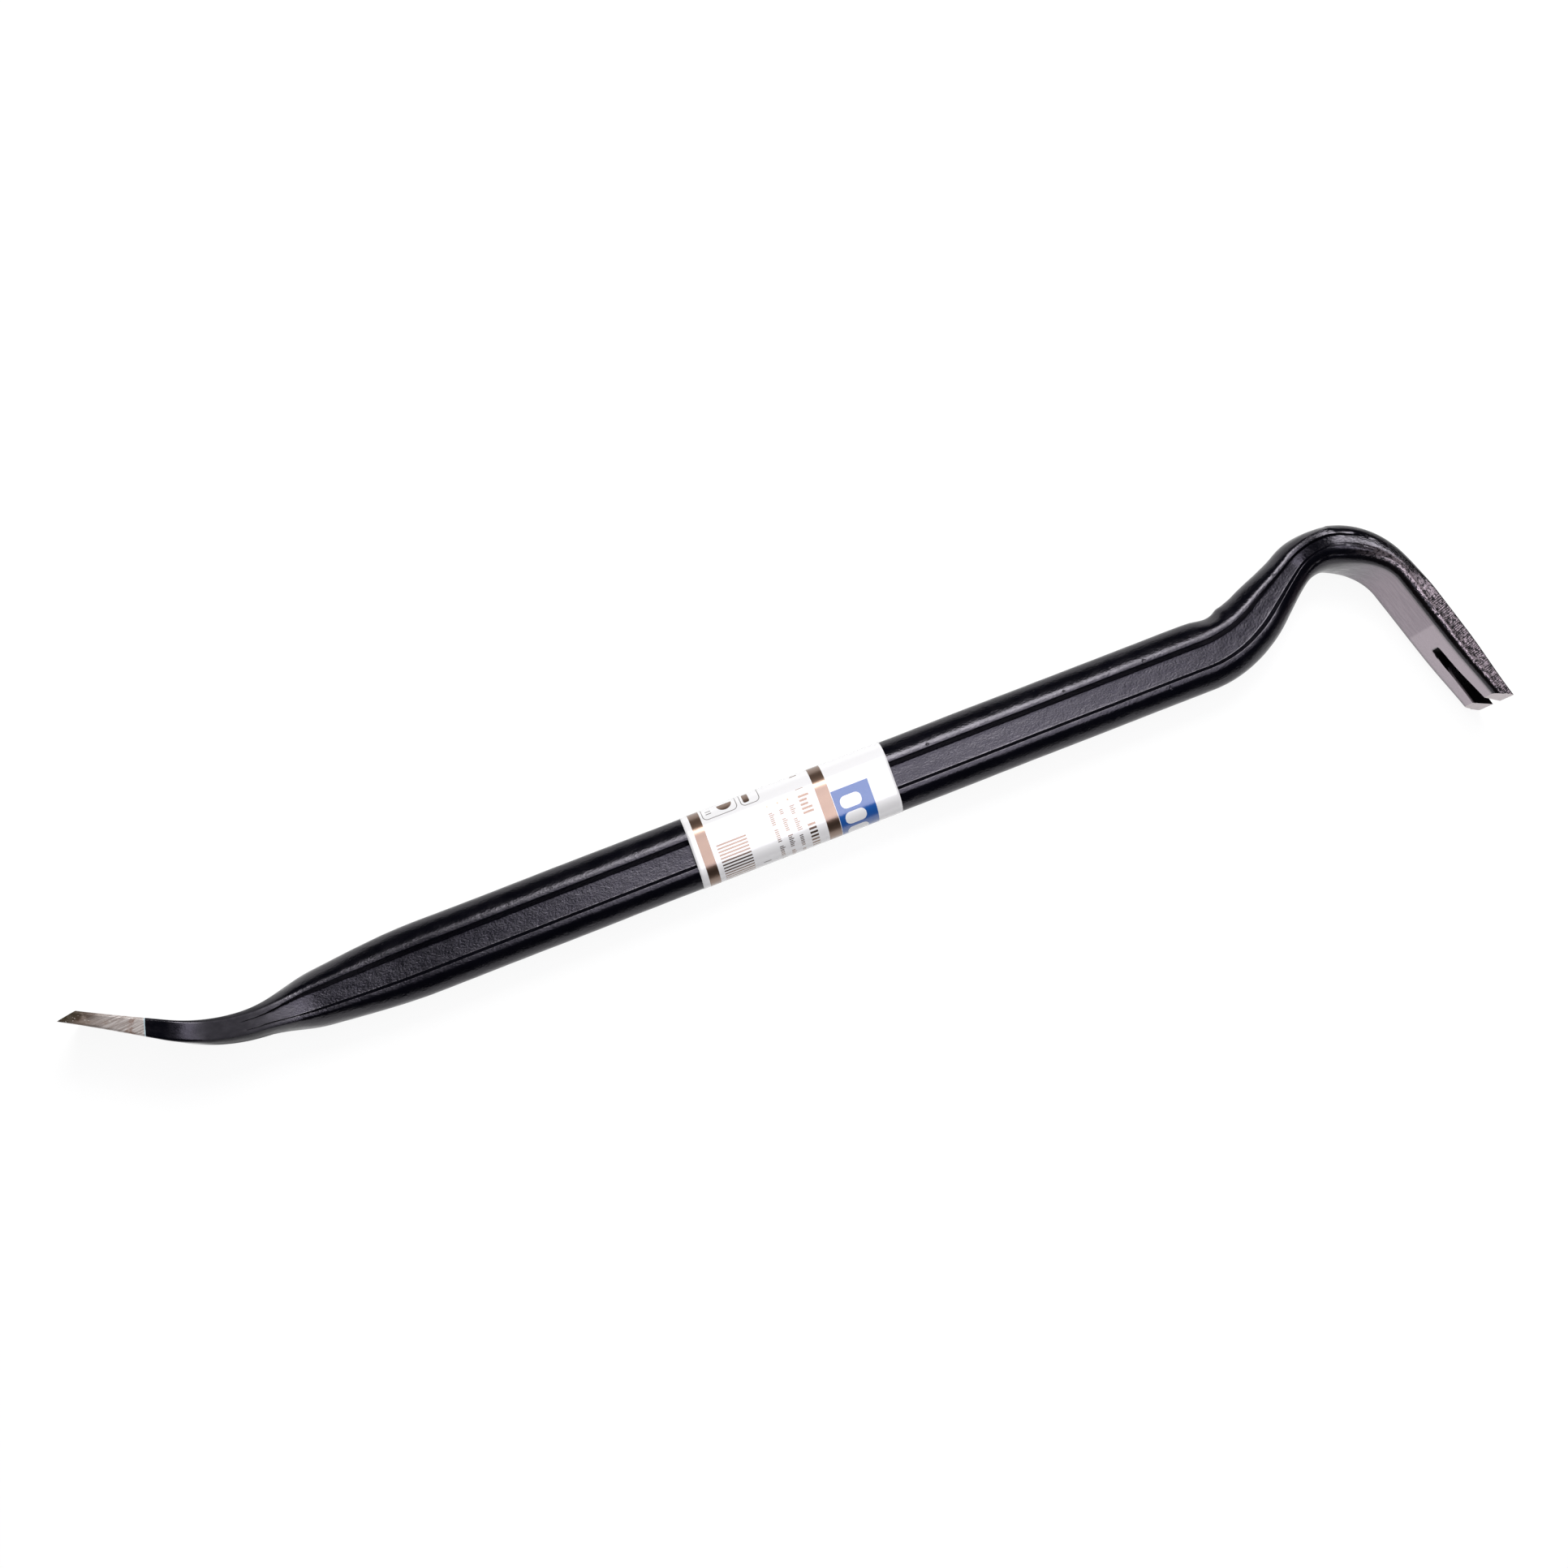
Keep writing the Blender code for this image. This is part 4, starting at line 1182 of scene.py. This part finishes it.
ROOM_LIGHT = 0.2
ROOM_SHOWN = 0.95
world = bpy.data.worlds.new("white_room")
bpy.context.scene.world = world
world.use_nodes = True
background = world.node_tree.nodes["Background"]
background.inputs["Color"].default_value = (1.0, 1.0, 1.0, 1.0)
ray = add_node(world.node_tree, "LightPath").node.outputs
strength = add_node(world.node_tree, "MapRange", ray["Is Diffuse Ray"], 0.0, 1.0, ROOM_SHOWN,
                    ROOM_LIGHT)
world.node_tree.links.new(strength, background.inputs["Strength"])

TENT_RADIUS = 3.2
TENT_OPENING = np.radians(2.0)
TENT_SIDES = 48
TENT_LEVELS = 12
turn, rise = np.meshgrid(np.linspace(0.0, 2.0 * np.pi, TENT_SIDES + 1)[:-1],
                         np.linspace(TENT_OPENING, np.pi / 2.0, TENT_LEVELS + 1)[:-1])
tent_points = TENT_RADIUS * np.stack((np.cos(turn) * np.cos(rise), np.sin(turn) * np.cos(rise),
                                      np.sin(rise)), axis=-1).reshape(-1, 3)
tent_points = np.vstack((tent_points, (0.0, 0.0, TENT_RADIUS)))
number = np.arange(turn.size).reshape(turn.shape)
following = np.roll(number, -1, axis=1)
cells = np.stack((number[:-1], following[:-1], following[1:], number[1:]), axis=-1)
tent_faces = list(cells.reshape(-1, 4))
tent_faces += [(a, b, turn.size) for a, b in zip(number[-1], following[-1])]
tent = new_mesh("black_tent", tent_points, tent_faces)
cloth, tree, shader = new_material("black_velvet")
shader.inputs["Base Color"].default_value = colour("#0a0a0c")
shader.inputs["Roughness"].default_value = 1.0
shader.inputs["Specular IOR Level"].default_value = 0.0
tent.data.materials.append(cloth)
tent.visible_camera = False
tent.visible_diffuse = False

PANEL_LENGTH = 0.68
PANEL_DEPTH = 0.50
for name, energy, tint, location, tilt in (
        ("softbox", 14.8, (1.0, 1.0, 1.0), (0.28, 0.595, 1.24), -25.75),
        ("overhead_panel", 3.9, (0.90, 0.88, 1.0), (0.28, 0.040, 1.38), 0.0)):
    light = bpy.data.lights.new(name, "AREA")
    light.shape = "RECTANGLE"
    light.size = PANEL_LENGTH
    light.size_y = PANEL_DEPTH
    light.energy = energy
    light.color = tint
    lamp = bpy.data.objects.new(name, light)
    lamp.location = location
    lamp.rotation_euler = (np.radians(tilt), 0.0, 0.0)
    lamp.visible_camera = False
    bpy.context.scene.collection.objects.link(lamp)

bpy.context.scene.view_settings.view_transform = "Standard"
